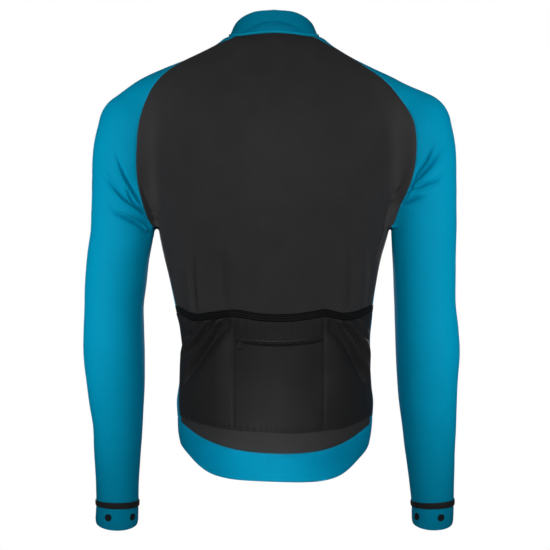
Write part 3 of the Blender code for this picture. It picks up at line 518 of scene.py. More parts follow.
def foldHeight(grid, way, table, part, face):  # a fold's row: line, half width, height, swell beside it
    # across a fold: a pointed bell of the distance from its line, less a broader bell on one side;
    # along it: full soon after the root, and fading slowly to the tip
    flat, normal = grid.reshape(-1, 3), way.reshape(-1, 3)
    total = np.zeros(len(flat))
    for line, halfWidth, height, swell in table:
        reach = foldShape["start"] if face == "back" else -foldShape["start"]
        knots = np.array([(x, reach, z) for x, z in line], float)
        knots = settle(curve(knots, spread(22)), part, (0.1, 1, 0.1), 8)
        start, step = knots[:-1], np.diff(knots, axis=0)
        near = (np.linalg.norm(flat - knots.mean(axis=0), axis=1) <
                np.linalg.norm(knots - knots.mean(axis=0), axis=1).max() + 5 * halfWidth)
        points = flat[near][:, None]
        t = np.clip(((points - start) * step).sum(-1) / (step**2).sum(-1), 0, 1)
        away = points - start - t[..., None] * step
        gap = np.linalg.norm(away, axis=-1)
        best = gap.argmin(axis=1)
        pick = np.arange(len(best))
        share = (best + t[pick, best]) / len(step)
        sideways = np.cross(unit(step)[best], normal[near])
        signed = (away[pick, best] * sideways).sum(-1) * np.sign(swell or 1)
        across = np.hypot(signed, 0.5 * np.sqrt(np.maximum(gap[pick, best] ** 2 - signed**2, 0)))
        crest = np.exp(-((np.abs(across) / halfWidth) ** foldShape["power"]))
        aside, wide = foldShape["ridge"]
        ridge = bell(signed - aside * halfWidth, wide * halfWidth) * (gap[pick, best] < 6 * halfWidth)
        fade = smoothStep(*foldShape["root"], share) * (1 - smoothStep(*foldShape["tip"], share))
        total[near] += height * fade * (crest - abs(swell) * ridge)
    return total.reshape(grid.shape[:-1])


def turned(table, side):  # a table of folds drawn on the wearer's left, for either side
    flip = 1 if side == "left" else -1
    return [(tuple((flip * x, z) for x, z in line), *rest) for line, *rest in table]


def rumple(points, size, height, seed, waves=9):
    # slow uneven waves: sines along seeded directions, weaker as they get finer
    draw = np.random.default_rng(seed)
    total = np.zeros(points.shape[:-1])
    for _ in range(waves):
        way = unit(draw.normal(size=3))
        length = size * draw.uniform(0.6, 1.8)
        bend = 0.35 * size * np.sin(points @ unit(draw.normal(size=3)) * 2 * math.pi / (2.3 * size))
        total += np.sin((points @ way + bend) * 2 * math.pi / length + draw.uniform(0, 6.3)) * (length / size)
    return height * total / waves


# Meshes

sharpEdge = 50  # degrees


def makePiece(name, points, faces, looks, slots=None, places=None):  # a mesh from whole arrays, at the origin
    mesh = bpy.data.meshes.new(name)
    mesh.vertices.add(len(points))
    mesh.vertices.foreach_set("co", (points * mm).ravel())
    mesh.loops.add(faces.size)
    mesh.loops.foreach_set("vertex_index", faces.ravel().astype(np.int32))
    mesh.polygons.add(len(faces))
    mesh.polygons.foreach_set("loop_start", np.arange(0, faces.size, faces.shape[1], dtype=np.int32))
    if places is not None:
        mesh.uv_layers.new(name="cloth").data.foreach_set("uv", (places * mm).ravel())
    for look in looks:
        mesh.materials.append(look)
    if slots is not None:
        mesh.polygons.foreach_set("material_index", slots)
    mesh.update(calc_edges=True)
    mesh.validate()
    mesh.shade_smooth()
    mesh.set_sharp_from_angle(angle=math.radians(sharpEdge))
    piece = bpy.data.objects.new(name, mesh)
    bpy.context.scene.collection.objects.link(piece)
    return piece


def dress(piece, nodes):  # the piece's body, and the nodes it stands for
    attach(piece, "jacket")
    if nodes:
        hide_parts(*nodes)


def clothShell(name, outer, inner, looks, nodes, slot, cut=None, tubeFrom=None, flat=None):
    # a closed wall between two grids: outer faces, inner faces turned round, and a rim along each open edge;
    # from the row tubeFrom on, the last column is the first one again; with a cut, its size as worn is printed
    rows, columns = outer.shape[:2]
    count = rows * columns
    raw = np.arange(count).reshape(rows, columns)
    index = raw.copy()
    tubeFrom = rows if tubeFrom is None else tubeFrom
    index[tubeFrom:, -1] = index[tubeFrom:, 0]

    def rim(line):
        return np.stack([line[:-1], line[1:], line[1:] + count, line[:-1] + count], axis=-1)

    def quads(source):
        a, b, c, d = source[:-1, :-1], source[:-1, 1:], source[1:, 1:], source[1:, :-1]
        front = np.stack([a, b, c, d], axis=-1).reshape(-1, 4)
        edges = [source[0, ::-1], source[-1]]
        if tubeFrom > 0:
            edges += [source[: tubeFrom + 1, 0], source[: tubeFrom + 1, -1][::-1]]
        return np.concatenate([front, front[:, ::-1] + count, *map(rim, edges)])

    faces, places = quads(index), quads(raw)
    if (np.cross(np.gradient(outer, axis=1), np.gradient(outer, axis=0)) * (outer - inner)).sum() < 0:
        faces, places = faces[:, ::-1], places[:, ::-1]
    used, faces = np.unique(faces, return_inverse=True)
    points = np.concatenate([outer.reshape(-1, 3), inner.reshape(-1, 3)])[used]
    flat = (flatPlace(outer) if flat is None else flat).reshape(-1, 2)
    front = (rows - 1) * (columns - 1)
    slots = np.zeros(len(places), np.int32)
    slots[front : 2 * front] = len(looks) - 1
    looks = [cloth[look] for look in looks]
    piece = makePiece(name, points, faces.reshape(-1, 4), looks, slots, np.tile(flat, (2, 1))[places])
    dress(piece, nodes)
    if cut:
        a, b = outer[1:, 1:] - outer[:-1, :-1], outer[1:, :-1] - outer[:-1, 1:]
        area = np.linalg.norm(np.cross(a, b), axis=-1).sum() / 2 * mm * mm
        size = (lengths(outer, 1).max() * mm, lengths(outer, 0).max() * mm, area)
        print(name, "as worn", [round(float(v), 4) for v in size])


def panel(name, node, color, outer, way, cut, **more):  # cloth of the usual wall over its lining, cut from a sheet
    clothShell(name, outer, outer - clothWall * way, (color, color + "Lining"), [node], color + "_cloth", cut, **more)


def crossing(grid, way, level, value):  # where a growing number reaches a value in each row, by straight shares
    after = np.clip((level < value).sum(axis=1), 1, level.shape[1] - 1)
    row = np.arange(len(grid))
    low, high = level[row, after - 1], level[row, after]
    share = np.clip((value - low) / np.maximum(high - low, 1e-6), 0, 1)[:, None]
    return (grid[row, after - 1] * (1 - share) + grid[row, after] * share,
            unit(way[row, after - 1] * (1 - share) + way[row, after] * share))


def beside(grid, way, edge, distance):  # the line of a grid at a distance from one edge, and its normals
    grid, way = fromEdge(grid, edge), fromEdge(way, edge)
    return crossing(grid, way, lengths(grid, 1), distance)


def spindle(length, radius, sides=4):  # a stitch: three rings between two points, its ends a little lower
    turn = np.arange(sides) * 2 * math.pi / sides
    rings = [
        np.stack([np.full(sides, s * length), r * radius * np.cos(turn), r * radius * np.sin(turn) + z * radius], 1)
        for s, r, z in ((-0.3, 0.8, -0.15), (0, 1, 0), (0.3, 0.8, -0.15))
    ]
    points = np.vstack([[(-length / 2, 0, -0.6 * radius)], *rings, [(length / 2, 0, -0.6 * radius)]])
    a = np.arange(sides)
    b = (a + 1) % sides
    end = 3 * sides + 1
    faces = [np.stack([0 * a, 1 + b, 1 + a], 1), np.stack([0 * a + end, 2 * sides + 1 + a, 2 * sides + 1 + b], 1)]
    for start in (1, 1 + sides):
        faces.append(np.stack([start + a, start + b, start + sides + b], 1))
        faces.append(np.stack([start + a, start + sides + b, start + sides + a], 1))
    return points, np.vstack(faces)


def tooth(length, width, height):  # a zip tooth: a block whose head is wider than its foot
    points = np.array([
        (-0.5, -0.35, -0.5), (0.5, -0.35, -0.5), (0.5, 0.5, -0.5), (-0.5, 0.5, -0.5),
        (-0.38, -0.3, 0.5), (0.38, -0.3, 0.5), (0.38, 0.4, 0.5), (-0.38, 0.4, 0.5),
    ]) * (length, width, height)
    quads = np.array([(0, 3, 2, 1), (4, 5, 6, 7), (0, 1, 5, 4), (1, 2, 6, 5), (2, 3, 7, 6), (3, 0, 4, 7)])
    return points, np.vstack([quads[:, (0, 1, 2)], quads[:, (0, 2, 3)]])


def placesAlong(line, way, pitch):  # centres at an even pitch, with the run, side and normal at each
    length = lengths(line)
    at = np.arange(pitch / 2, length[-1], pitch)

    def read(values):
        return np.stack([np.interp(at, length, values[:, k]) for k in range(3)], axis=1)

    normal, run = unit(read(way)), read(np.gradient(line, length, axis=0))
    run = unit(run - (run * normal).sum(-1, keepdims=True) * normal)
    return read(line), run, np.cross(normal, run), normal


def repeated(name, runs, look):  # the same small shape set at each of its places
    allPoints, allFaces, count = [], [], 0
    for (points, faces), (centre, run, side, normal) in runs:
        made = centre[:, None] + points @ np.stack([run, side, normal], axis=1)
        allPoints.append(made.reshape(-1, 3))
        numbers = faces[None] + (count + np.arange(len(centre)) * len(points))[:, None, None]
        allFaces.append(numbers.reshape(-1, 3))
        count += len(centre) * len(points)
    dress(makePiece(name, np.vstack(allPoints), np.vstack(allFaces), (finish[look],)), [])


stitch = {"pitch": 2.9, "length": 2.3, "radius": 0.24, "sunk": 0.06}
rows = {"black": [], "teal": []}


def sew(color, line, way, pitch=None):  # a row of stitches kept for the piece of its colour
    pitch = pitch or stitch["pitch"]
    shape = spindle(stitch["length"] * pitch / stitch["pitch"], stitch["radius"])
    rows[color].append((shape, placesAlong(line + (stitch["radius"] - stitch["sunk"]) * way, way, pitch)))


# Materials


def feed(socket, value):  # a socket is linked to another one, or set to a value
    if isinstance(value, bpy.types.NodeSocket):
        socket.id_data.links.new(value, socket)
    else:
        socket.default_value = value


def addNode(tree, kind, inputs=(), **settings):
    made = tree.nodes.new("ShaderNode" + kind)
    for label, value in settings.items():
        setattr(made, label, value)
    for label, value in dict(inputs).items():
        feed(made.inputs[label], value)
    return made


def worker(tree):  # adds one Math node of a tree for each call, and gives its result
    return lambda operation, *values: addNode(tree, "Math", enumerate(values), operation=operation).outputs[0]


socketKinds = {"Place": "NodeSocketVector", "Color": "NodeSocketColor"}  # the others are numbers


def newGroup(name, inputs, output):
    tree = bpy.data.node_groups.new(name, "ShaderNodeTree")
    for label, value in inputs.items():
        kind = socketKinds.get(label, "NodeSocketFloat")
        socket = tree.interface.new_socket(label, in_out="INPUT", socket_type=kind)
        if value is not None:
            socket.default_value = value
    tree.interface.new_socket(output, in_out="OUTPUT", socket_type=socketKinds.get(output, "NodeSocketFloat"))
    given, result = tree.nodes.new("NodeGroupInput"), tree.nodes.new("NodeGroupOutput")
    return tree, given.outputs, result.inputs, worker(tree)


def makeKnit():
    # wales are half sine waves across the cloth, and loops are V shaped waves along each wale
    tree, given, result, work = newGroup("knitLoops", {"Place": None, "Pitch": 0.6, "Loop": 0.5}, "Height")
    split = addNode(tree, "SeparateXYZ", {0: given["Place"]}).outputs
    u = work("DIVIDE", work("MULTIPLY", split[0], 1000.0), given["Pitch"])
    v = work("DIVIDE", work("MULTIPLY", split[1], 1000.0), given["Loop"])
    wale = work("ABSOLUTE", work("SINE", work("MULTIPLY", u, math.pi)))
    bend = work("ABSOLUTE", work("SUBTRACT", work("FRACT", u), 0.5))
    loop = work("SINE", work("MULTIPLY", work("ADD", v, bend), 2 * math.pi))
    feed(result["Height"], work("MULTIPLY", wale, work("MULTIPLY_ADD", loop, 0.3, 0.7)))
    return tree


def makeNap():
    # brushed face: soft clouds of two sizes that lighten or darken the colour a little
    tree, given, result, work = newGroup("brushedNap", {"Color": (0.5, 0.5, 0.5, 1), "Amount": 0.1}, "Color")
    place = addNode(tree, "TexCoord").outputs["Object"]
    tones = []
    for scale, detail in ((28.0, 3.0), (420.0, 2.0)):
        noise = addNode(tree, "TexNoise", {"Scale": scale, "Detail": detail, "Vector": place})
        tones.append(work("SUBTRACT", noise.outputs["Fac"], 0.5))
    tone = work("ADD", tones[0], work("MULTIPLY", tones[1], 0.7))
    share = work("MULTIPLY_ADD", work("MULTIPLY", tone, given["Amount"]), 2.0, 1.0)
    scaled = addNode(tree, "VectorMath", operation="SCALE")
    feed(scaled.inputs[0], given["Color"])
    feed(scaled.inputs["Scale"], share)
    feed(result["Color"], scaled.outputs["Vector"])
    return tree


def makeDots():
    # 1 inside round dots evenly spaced along the cloth: the distance from the nearest centre, cut softly
    sizes = {"Place": None, "Spacing": 38.0, "Shift": 0.0, "Level": 10.0, "Radius": 5.0}
    tree, given, result, work = newGroup("roundDots", sizes, "Mask")
    split = addNode(tree, "SeparateXYZ", {0: given["Place"]}).outputs
    place = work("MULTIPLY_ADD", split[0], 1000.0, given["Shift"])
    across = work("SUBTRACT", work("FRACT", work("DIVIDE", place, given["Spacing"])), 0.5)
    across = work("MULTIPLY", across, given["Spacing"])
    up = work("SUBTRACT", work("MULTIPLY", split[1], 1000.0), given["Level"])
    gap = work("POWER", work("ADD", work("MULTIPLY", across, across), work("MULTIPLY", up, up)), 0.5)
    edge = work("MULTIPLY", work("SUBTRACT", given["Radius"], gap), 6.0)
    feed(result["Mask"], addNode(tree, "Clamp", {"Value": edge}).outputs[0])
    return tree


knitLoops = makeKnit()
brushedNap = makeNap()
roundDots = makeDots()

coolSheen, tealSheen, linerSheen = (0.8, 0.85, 1.0, 1), (0.0, 0.6, 1.0, 1), (0.5, 0.9, 1.0, 1)
lookColumns = ("color", "nap", "roughness", "gloss", "sheen", "sheenTint", "pitch", "loop", "bump")
looks = {
    "black": ((0.0292, 0.0288, 0.0296), 0.16, 0.62, 0.06, 0.02, coolSheen, 0.62, 0.52, 0.10),
    "teal": ((0.0, 0.235, 0.395), 0.05, 0.6, 0.02, 0.02, tealSheen, 0.62, 0.52, 0.10),
    "pocket": ((0.0138, 0.0137, 0.0142), 0.2, 0.55, 0.09, 0.02, coolSheen, 0.62, 0.52, 0.10),
    "blackLining": ((0.020, 0.021, 0.022), 0.3, 0.9, 0.02, 0.1, coolSheen, 1.1, 1.1, 0.25),
    "tealLining": ((0.0, 0.16, 0.27), 0.2, 0.9, 0.02, 0.06, linerSheen, 1.1, 1.1, 0.25),
    # binding: the collar's teal made lighter, a painted highlight along the collar's foot
    "binding": ((0.0, 0.33, 0.53), 0.05, 0.5, 0.05, 0.02, tealSheen, 0.62, 0.52, 0.08),
    "ring": ((0.017, 0.0172, 0.018), 0.12, 0.6, 0.08, 0.02, (1, 1, 1, 1), 1.2, 0.6, 0.25),
    "elastic": ((0.0050, 0.0051, 0.0055), 0.12, 0.6, 0.08, 0.02, (1, 1, 1, 1), 1.4, 0.7, 0.35),
}


def newLook(name, inputs):
    material = bpy.data.materials.new(name)
    material.use_nodes = True
    shader = material.node_tree.nodes["Principled BSDF"]
    for label, value in inputs.items():
        feed(shader.inputs[label], value)
    return material, material.node_tree, shader.inputs


def clothLook(name):
    look = dict(zip(lookColumns, looks[name]))
    material, tree, shader = newLook(name + "Cloth", {
        "Roughness": look["roughness"], "Sheen Weight": look["sheen"], "Sheen Roughness": 0.45,
        "Sheen Tint": look["sheenTint"], "Specular IOR Level": look["gloss"]})
    nap = addNode(tree, "Group", node_tree=brushedNap)
    feed(nap.inputs["Color"], (*look["color"], 1))
    feed(nap.inputs["Amount"], look["nap"])
    feed(shader["Base Color"], nap.outputs["Color"])
    place = addNode(tree, "UVMap", uv_map="cloth").outputs["UV"]
    knit = addNode(tree, "Group", {"Pitch": look["pitch"], "Loop": look["loop"], "Place": place}, node_tree=knitLoops)
    bump = {"Strength": look["bump"], "Distance": 0.15 * mm, "Height": knit.outputs["Height"]}
    feed(shader["Normal"], addNode(tree, "Bump", bump).outputs["Normal"])
    return material


cloth = {name: clothLook(name) for name in looks}
dots = {"Spacing": 40.2, "Shift": 19.4, "Level": 14.0, "Radius": 5.8}
dotColor = (0.012, 0.016, 0.020, 1)


def dottedLook():  # the teal cloth with plain round dots printed on it
    material = cloth["teal"].copy()
    material.name = "cuffCloth"
    tree = material.node_tree
    base = tree.nodes["Principled BSDF"].inputs["Base Color"]
    place = addNode(tree, "UVMap", uv_map="cloth").outputs["UV"]
    mask = addNode(tree, "Group", {**dots, "Place": place}, node_tree=roundDots).outputs["Mask"]
    mixed = addNode(tree, "Mix", data_type="RGBA")
    for number, value in ((0, mask), (6, base.links[0].from_socket), (7, dotColor)):
        feed(mixed.inputs[number], value)
    feed(base, mixed.outputs[2])
    return material


cloth["cuff"] = dottedLook()


def plainLook(name, color, roughness, metallic=0.0, scale=300.0, strength=0.15):
    # moulded or cast finish: fine grain in the bump and a little in the roughness
    material, tree, shader = newLook(name, {"Base Color": (*color, 1), "Metallic": metallic})
    place = addNode(tree, "TexCoord").outputs["Object"]
    grain = addNode(tree, "TexNoise", {"Scale": scale, "Vector": place}).outputs["Fac"]
    feed(shader["Roughness"], worker(tree)("MULTIPLY_ADD", grain, 0.2, roughness - 0.1))
    bump = addNode(tree, "Bump", {"Strength": strength, "Distance": 0.1 * mm, "Height": grain})
    feed(shader["Normal"], bump.outputs["Normal"])
    return material


finish = {
    "zipMetal": plainLook("zipMetal", (0.035, 0.036, 0.04), 0.35, 0.85, 900.0),
    "zipTeeth": plainLook("zipTeeth", (0.010, 0.0105, 0.011), 0.4),
    "blackThread": plainLook("blackThread", (0.008, 0.0085, 0.009), 0.65, 0.0, 2500.0, 0.4),
    "tealThread": plainLook("tealThread", (0.0, 0.20, 0.35), 0.65, 0.0, 2500.0, 0.4),
}

zipCut = {"width": 8.0, "tooth": (1.25, 3.4, 1.1), "pitch": 1.05, "stitches": 1.8, "raised": 0.55}
seams = makeSeams()
print("seams drawn")

# Back and fronts

seamRoll = (0.9, 2.2)  # how deep and how far in a turned seam pulls the cloth
backCut = {
    "flat": (0.43, 0.645), "area": 0.214, "rumple": (60, 0.45, 3), "topRoll": (0.3, 1.5), "sewn": 1.6,
    "folds": (
        (((157, -330), (164, -308), (170, -287), (175, -273), (186, -246), (193, -223), (196, -196)), 2.6, -4.4, 0.4),
        (((174, -262), (170, -250), (161, -233)), 2.4, -3.0, 0.4),
        (((-150, -340), (-159, -315), (-166, -290), (-170, -264), (-177, -240), (-186, -214), (-200, -188)),
         3.0, -4.8, 0.4),
        (((115, -408), (118, -368), (117, -310)), 4.5, -3.0, 0.6),
        (((123, -408), (125, -370), (128, -340)), 4, 2.2, 0.5),
        (((70, -406), (76, -334), (74, -290)), 8, -1.6, 0.5),
        (((-109, -408), (-113, -334), (-108, -290)), 7, -2.0, -0.5),
        (((-138, -408), (-141, -360), (-140, -300)), 4.5, 2.4, -0.6),
        (((-90, -230), (-135, -180), (-170, -120)), 26, 1.6, 0.4),
        (((100, -240), (140, -190), (168, -130)), 26, 1.6, -0.4),
    ),
}
frontCut = {
    "flat": (0.235, 0.625), "area": 0.1, "rumple": (60, 0.5, 5),
    "start": -120,  # depth ahead of the trunk, from where the middle line settles on it
    "folds": (
        (((172, -284), (168, -262), (150, -225)), 5, -4.4, 0.5),
        (((166, -290), (150, -270), (120, -250)), 5, -3.2, 0.5),
        (((150, -410), (146, -370), (138, -330)), 6, -2.4, 0.5),
        (((60, -556), (64, -500), (58, -440)), 9, -1.8, 0.5),
    ),
}


def makeTrunk():
    edges = {}
    for side in sides:
        for face, first in (("back", cuts["ear"]), ("front", 0)):
            rise = seams[face + side][first:-1][::-1]
            edges[face + side] = np.concatenate([seams["side" + side][::-1], rise])
    bottom = hemLine(seams["hemleft"], seams["hemright"], "top", cuts["back"])
    grid = fillPanel(bottom, seams["backTop"], edges["backleft"], edges["backright"])
    grid = pullIn(grid, seamGap / 2, ("first", "last", "bottom", "top"))
    way = outward(grid, "trunk")
    lift = foldHeight(grid, way, backCut["folds"], "trunk", "back") + rumple(grid, *backCut["rumple"])
    lift += edgeRoll(grid, *seamRoll, ("first", "last", "bottom")) + edgeRoll(grid, *backCut["topRoll"], ("top",))
    outer = grid + lift[..., None] * way
    panel("backCloth", "back_panel", "black", outer, way, backCut)
    sew("black", *beside(outer, way, "bottom", backCut["sewn"]))
    for side in sides:
        bottom = hemLine(seams["hem" + side], frontAngle(side, "top"), "top", cuts["front"])
        top = seams["neckFront" + side]
        centre = np.linspace(bottom[-1], top[-1], len(edges["front" + side]))
        centre[1:-1, 1] = frontCut["start"]
        centre[1:-1] = settle(centre[1:-1], "trunk", (0, 1, 0))
        grid = fillPanel(bottom, top, edges["front" + side], centre)
        grid = pullIn(grid, seamGap / 2, ("first", "bottom", "top"))
        way = outward(grid, "trunk")
        lift = foldHeight(grid, way, turned(frontCut["folds"], side), "trunk", "front")
        lift = lift + rumple(grid, *frontCut["rumple"]) + edgeRoll(grid, *seamRoll, ("first", "bottom", "top"))
        outer = grid + lift[..., None] * way
        panel(side + "FrontCloth", "front_" + side, "teal", outer, way, frontCut)
        sewn = zipCut["width"] / 2 - seamLines["frontEdge"] + zipCut["stitches"]
        sew("teal", *beside(outer, way, "last", sewn))


makeTrunk()
print("back and fronts made")

# Sleeves, wrist rings, cuffs

sleeveCut = {
    "flat": (0.295, 0.82), "area": 0.163, "rumple": (55, 0.4, 7), "sewn": 1.5,
    "rollRows": 12,  # rows below the armhole over which its roll fades
    "heldDown": (0.9, 3.0),  # the seams hold the folds down by this share, within this distance
    "folds": {
        "left": (
            (((176, -286), (183, -271), (200, -255), (223, -238), (242, -215), (256, -186)), 2.1, -5.4, -0.7),
            (((178, -276), (183, -263), (195, -248), (206, -230), (217, -213), (227, -189), (237, -156)),
             2.0, -5.2, -0.7),
            (((178, -280), (183, -269), (197, -255), (209, -242), (219, -214)), 1.9, -3.8, -0.6),
            (((178, -292), (183, -291), (197, -280), (215, -271), (233, -263), (250, -245)), 2.1, -5.0, 0.7),
            (((181, -284), (190, -266), (201, -246), (210, -222), (216, -196)), 12, -3.4, 0),
        ),
        "right": (
            (((-193, -236), (-197, -229), (-209, -213), (-227, -195), (-242, -174), (-256, -150)), 2.2, -5.6, 0.7),
            (((-200, -222), (-214, -198), (-223, -186), (-230, -171), (-241, -148)), 2.0, -5.0, 0.6),
            (((-190, -240), (-195, -235), (-203, -226), (-221, -220), (-239, -213), (-256, -196)), 2.1, -5.2, 0.7),
            (((-184, -251), (-187, -249), (-197, -245), (-212, -240), (-229, -232)), 2.0, -4.6, -0.6),
            (((-190, -246), (-200, -232), (-212, -216), (-222, -194)), 11, -2.4, 0),
        ),
    },
    "frontFolds": (
        (((180, -284), (200, -262), (224, -240), (244, -212)), 3.6, -4.2, 0.5),
        (((184, -272), (204, -244), (222, -214), (232, -180)), 3.2, -3.6, 0.5),
        (((180, -292), (206, -278), (232, -266), (250, -250)), 3.2, -3.4, -0.5),
        (((206, -420), (224, -436), (246, -442)), 5, -2.4, 0.5),
        (((204, -446), (222, -456), (244, -456)), 5, -2.4, 0.5),
    ),
}
cuffCut = {"flat": (0.195, 0.033), "area": 0.005, "rumple": (30, 0.15, 9), "rows": 17, "swell": 0.35,
           "rolls": ((1, 0.5, 0.06), (0, 0.5, 0.08)),  # share of the height, depth, width
           "sewn": (6.0, 2.6)}  # distance from the end, pitch
ringCut = {"columns": 96, "rows": 9, "clear": 0.4, "sag": 0.35}


def makeSleeve(side):
    last = cuts["raglan"]
    raglan = np.s_[: last + 1]
    grid = sleeveGrid(side, seams)
    way = outward(grid, side)
    lift = foldHeight(grid, way, sleeveCut["folds"][side], side, "back")
    lift += foldHeight(grid, way, turned(sleeveCut["frontFolds"], side), side, "front")
    lift[raglan] *= 1 + edgeRoll(grid[raglan], *sleeveCut["heldDown"], ("first", "last"))
    lift += rumple(grid, *sleeveCut["rumple"])
    sewn = edgeRoll(grid[raglan], *seamRoll, ("first", "last", "bottom"))
    lift[raglan] += sewn
    fade = smoothStep(0, sleeveCut["rollRows"], np.arange(len(grid) - last - 1))[:, None]
    lift[last + 1 :] += sewn[-1] * (1 - fade)
    lift[last:, -1] = lift[last:, 0]
    outer = grid + lift[..., None] * way
    panel(side + "SleeveCloth", "sleeve_" + side, "teal", outer, way, sleeveCut, tubeFrom=last)
    for edge in ("first", "last"):
        sew("teal", *beside(outer[raglan], way[raglan], edge, sleeveCut["sewn"]))


def makeCuff(side):  # the wrist ring is a low arch between its edges, the cuff a tube with rolled ends
    (top, lean), (bottom, _), (end, endLean) = wrist["ringTop"], wrist["ringBottom"], wrist["cuffEnd"]
    columns, clear = ringCut["columns"], ringCut["clear"]
    share = np.linspace(0, 1, ringCut["rows"])
    band = np.array([ring(side, top + s * (bottom - top), lean, columns) for s in share])
    way = outward(band, side)
    lift = (clear + trimWall) * (1 - ringCut["sag"] * np.abs(2 * share - 1) ** 4)
    clothShell(side + "WristRing", band + lift[:, None, None] * way, band + clear * way, ("ring",),
               ["wrist_ring_" + side], "elastic", tubeFrom=0)

    share = np.linspace(0, 1, cuffCut["rows"])
    start = bottom - seamGap
    grid = np.array([ring(side, start + s * (end - start), lean + s * (endLean - lean), columns) for s in share])
    way = outward(grid, side)
    lift = cuffCut["swell"] * np.sin(share * math.pi)
    for place, depth, width in cuffCut["rolls"]:
        lift -= depth * bell(share - place, width)
    outer = grid + (lift[:, None] + rumple(grid, *cuffCut["rumple"]))[..., None] * way
    outer[:, -1] = outer[:, 0]
    inner = grid - clothWall * way
    inner[:, -1] = inner[:, 0]
    clothShell(side + "CuffCloth", outer, inner, ("cuff", "tealLining"), ["cuff_" + side], "teal_cloth", cuffCut,
               tubeFrom=0)
    away, pitch = cuffCut["sewn"]
    sew("teal", *beside(outer, way, "top", away), pitch)


for side in sides:
    makeSleeve(side)
    makeCuff(side)
print("sleeves and cuffs made")

# Collar

collarCut = {
    "flat": (0.415, 0.042), "area": 0.0099, "rumple": (40, 0.25, 11),
    "rim": (
        (0, 47, 38.3), (31, 41, 35.7), (49, 28, 28.8), (57.5, 12, 22.2), (60, -5, 14.5),
        (56, -27, 1), (38, -49, -16), (0, -60, -28),
    ),
    "rows": ((0.0, 0.0), (0.12, 1.2), (0.3, 1.3), (0.5, 1.5), (0.7, 1.7), (0.88, 1.0), (1.0, 0.0)),
    "crease": (0.40, 0.04, -4.2, 2.2),  # share of the height, half width, depth, ridge below
    "ridge": (0.12, 1.3),  # how far below the crease, and how much wider
    "fade": (10, 32),
    "creaseEnd": (10, 56, 0.78, 0.8),  # from and to which x the crease comes down and flattens, each by what share
    "rimRoll": (0.5, 0.05),
    "lift": 1.0,
    "middle": (0, -5, -10),
    "steps": 36,
    "sewing": (7, 34, 3.4),  # row, reach to each side, pitch
}
bindingCut = {"from": -2.6, "to": 1.7, "thickness": 2.0, "gap": 0.2, "rows": 13, "roundness": 0.96}


def collarShape():
    rim = np.array(collarCut["rim"], float)
    rim = curve([*rim, *(rim * (-1, 1, 1))[::-1][1:]], spread(900))
    ends = [nearest(rim, mirrored((seamLines["frontEdge"], *collarCut["rim"][-1][1:]), side)) for side in sides]
    rim[ends, 0] = seamLines["frontEdge"], -seamLines["frontEdge"]
    rim = np.concatenate([rim[: ends[0] + 1][::-1], rim[ends[1] :][::-1]])
    rim = resample(rim, spread(cuts["collar"]))
    foot = seams["collarFoot"]
    rise = rim - foot
    height = np.linalg.norm(rise, axis=-1, keepdims=True)
    foot = foot + collarCut["lift"] * rise / height
    flat = foot + np.array([0, 1])[:, None, None] * (rim - foot)
    way = unit(np.cross(np.gradient(flat, axis=1), np.gradient(flat, axis=0)))
    facing = ((flat - np.array(collarCut["middle"], float)) * way).sum(-1, keepdims=True)
    return foot, rim, rise, height, np.where(facing < 0, -way, way)


def makeCollar():  # rows between foot and rim, each standing out by the smooth curve through the rows' table
    foot, rim, rise, height, way = collarShape()
    fade = smoothStep(*collarCut["fade"], height)
    share = np.linspace(0, 1, collarCut["steps"] + 1)
    knots, stands = np.array(collarCut["rows"]).T
    start, stop, drop, loss = collarCut["creaseEnd"]
    place, wide, deep, ridge = collarCut["crease"]
    below, wider = collarCut["ridge"]
    end = smoothStep(start, stop, np.abs(foot[:, 0]))
    place = place * (1 - drop * end * (foot[:, 1] > 0))
    fold = deep * (1 - loss * end) * bell(share[:, None] - place, wide)
    fold += ridge * bell(share[:, None] - place + below, wider * wide)
    stand = (smoothValue(share[:, None], knots, stands) + fold)[..., None]
    flat = foot + share[:, None, None] * (rim - foot)
    turn = way[0] + share[:, None, None] * (way[1] - way[0])
    lift = stand * fade + rumple(flat, *collarCut["rumple"])[..., None]
    deep, wide = collarCut["rimRoll"]
    lift -= deep * bell(share - 1, wide)[:, None, None]
    outer = flat + lift * turn
    panel("collarCloth", "collar", "teal", outer, turn, collarCut)

    # the binding is a half round carried along the collar's foot; its lighter teal is a painted highlight
    up = np.linspace(0, 1, bindingCut["rows"])
    bulge = bindingCut["thickness"] * np.sqrt(1 - bindingCut["roundness"] * (2 * up - 1) ** 2)[:, None, None]
    up = (bindingCut["from"] + up * (bindingCut["to"] - bindingCut["from"]))[:, None, None]
    under = smoothValue(up[:, 0, 0][:, None] / height[:, 0], knots, stands)[..., None] * fade
    inner = foot + up * rise / height + (under + bindingCut["gap"]) * way[0]
    clothShell("collarBinding", inner + bulge * way[0], inner, ("binding",), ["collar_binding"], "teal_cloth")
    sewn, reach, pitch = collarCut["sewing"]
    marks = (np.abs(outer[sewn, :, 0]) < reach) & (outer[sewn, :, 1] > 0)
    sew("teal", outer[sewn][marks], turn[sewn][marks], pitch)


makeCollar()
print("collar made")

# Hem band

hemCut = {"flat": (0.78, 0.045), "area": 0.0298, "steps": 18, "rumple": (70, 0.35, 13), "sewn": 1.7,
          "bottomRoll": (0.7, 1.8), "topRoll": (0.5, 1.2)}


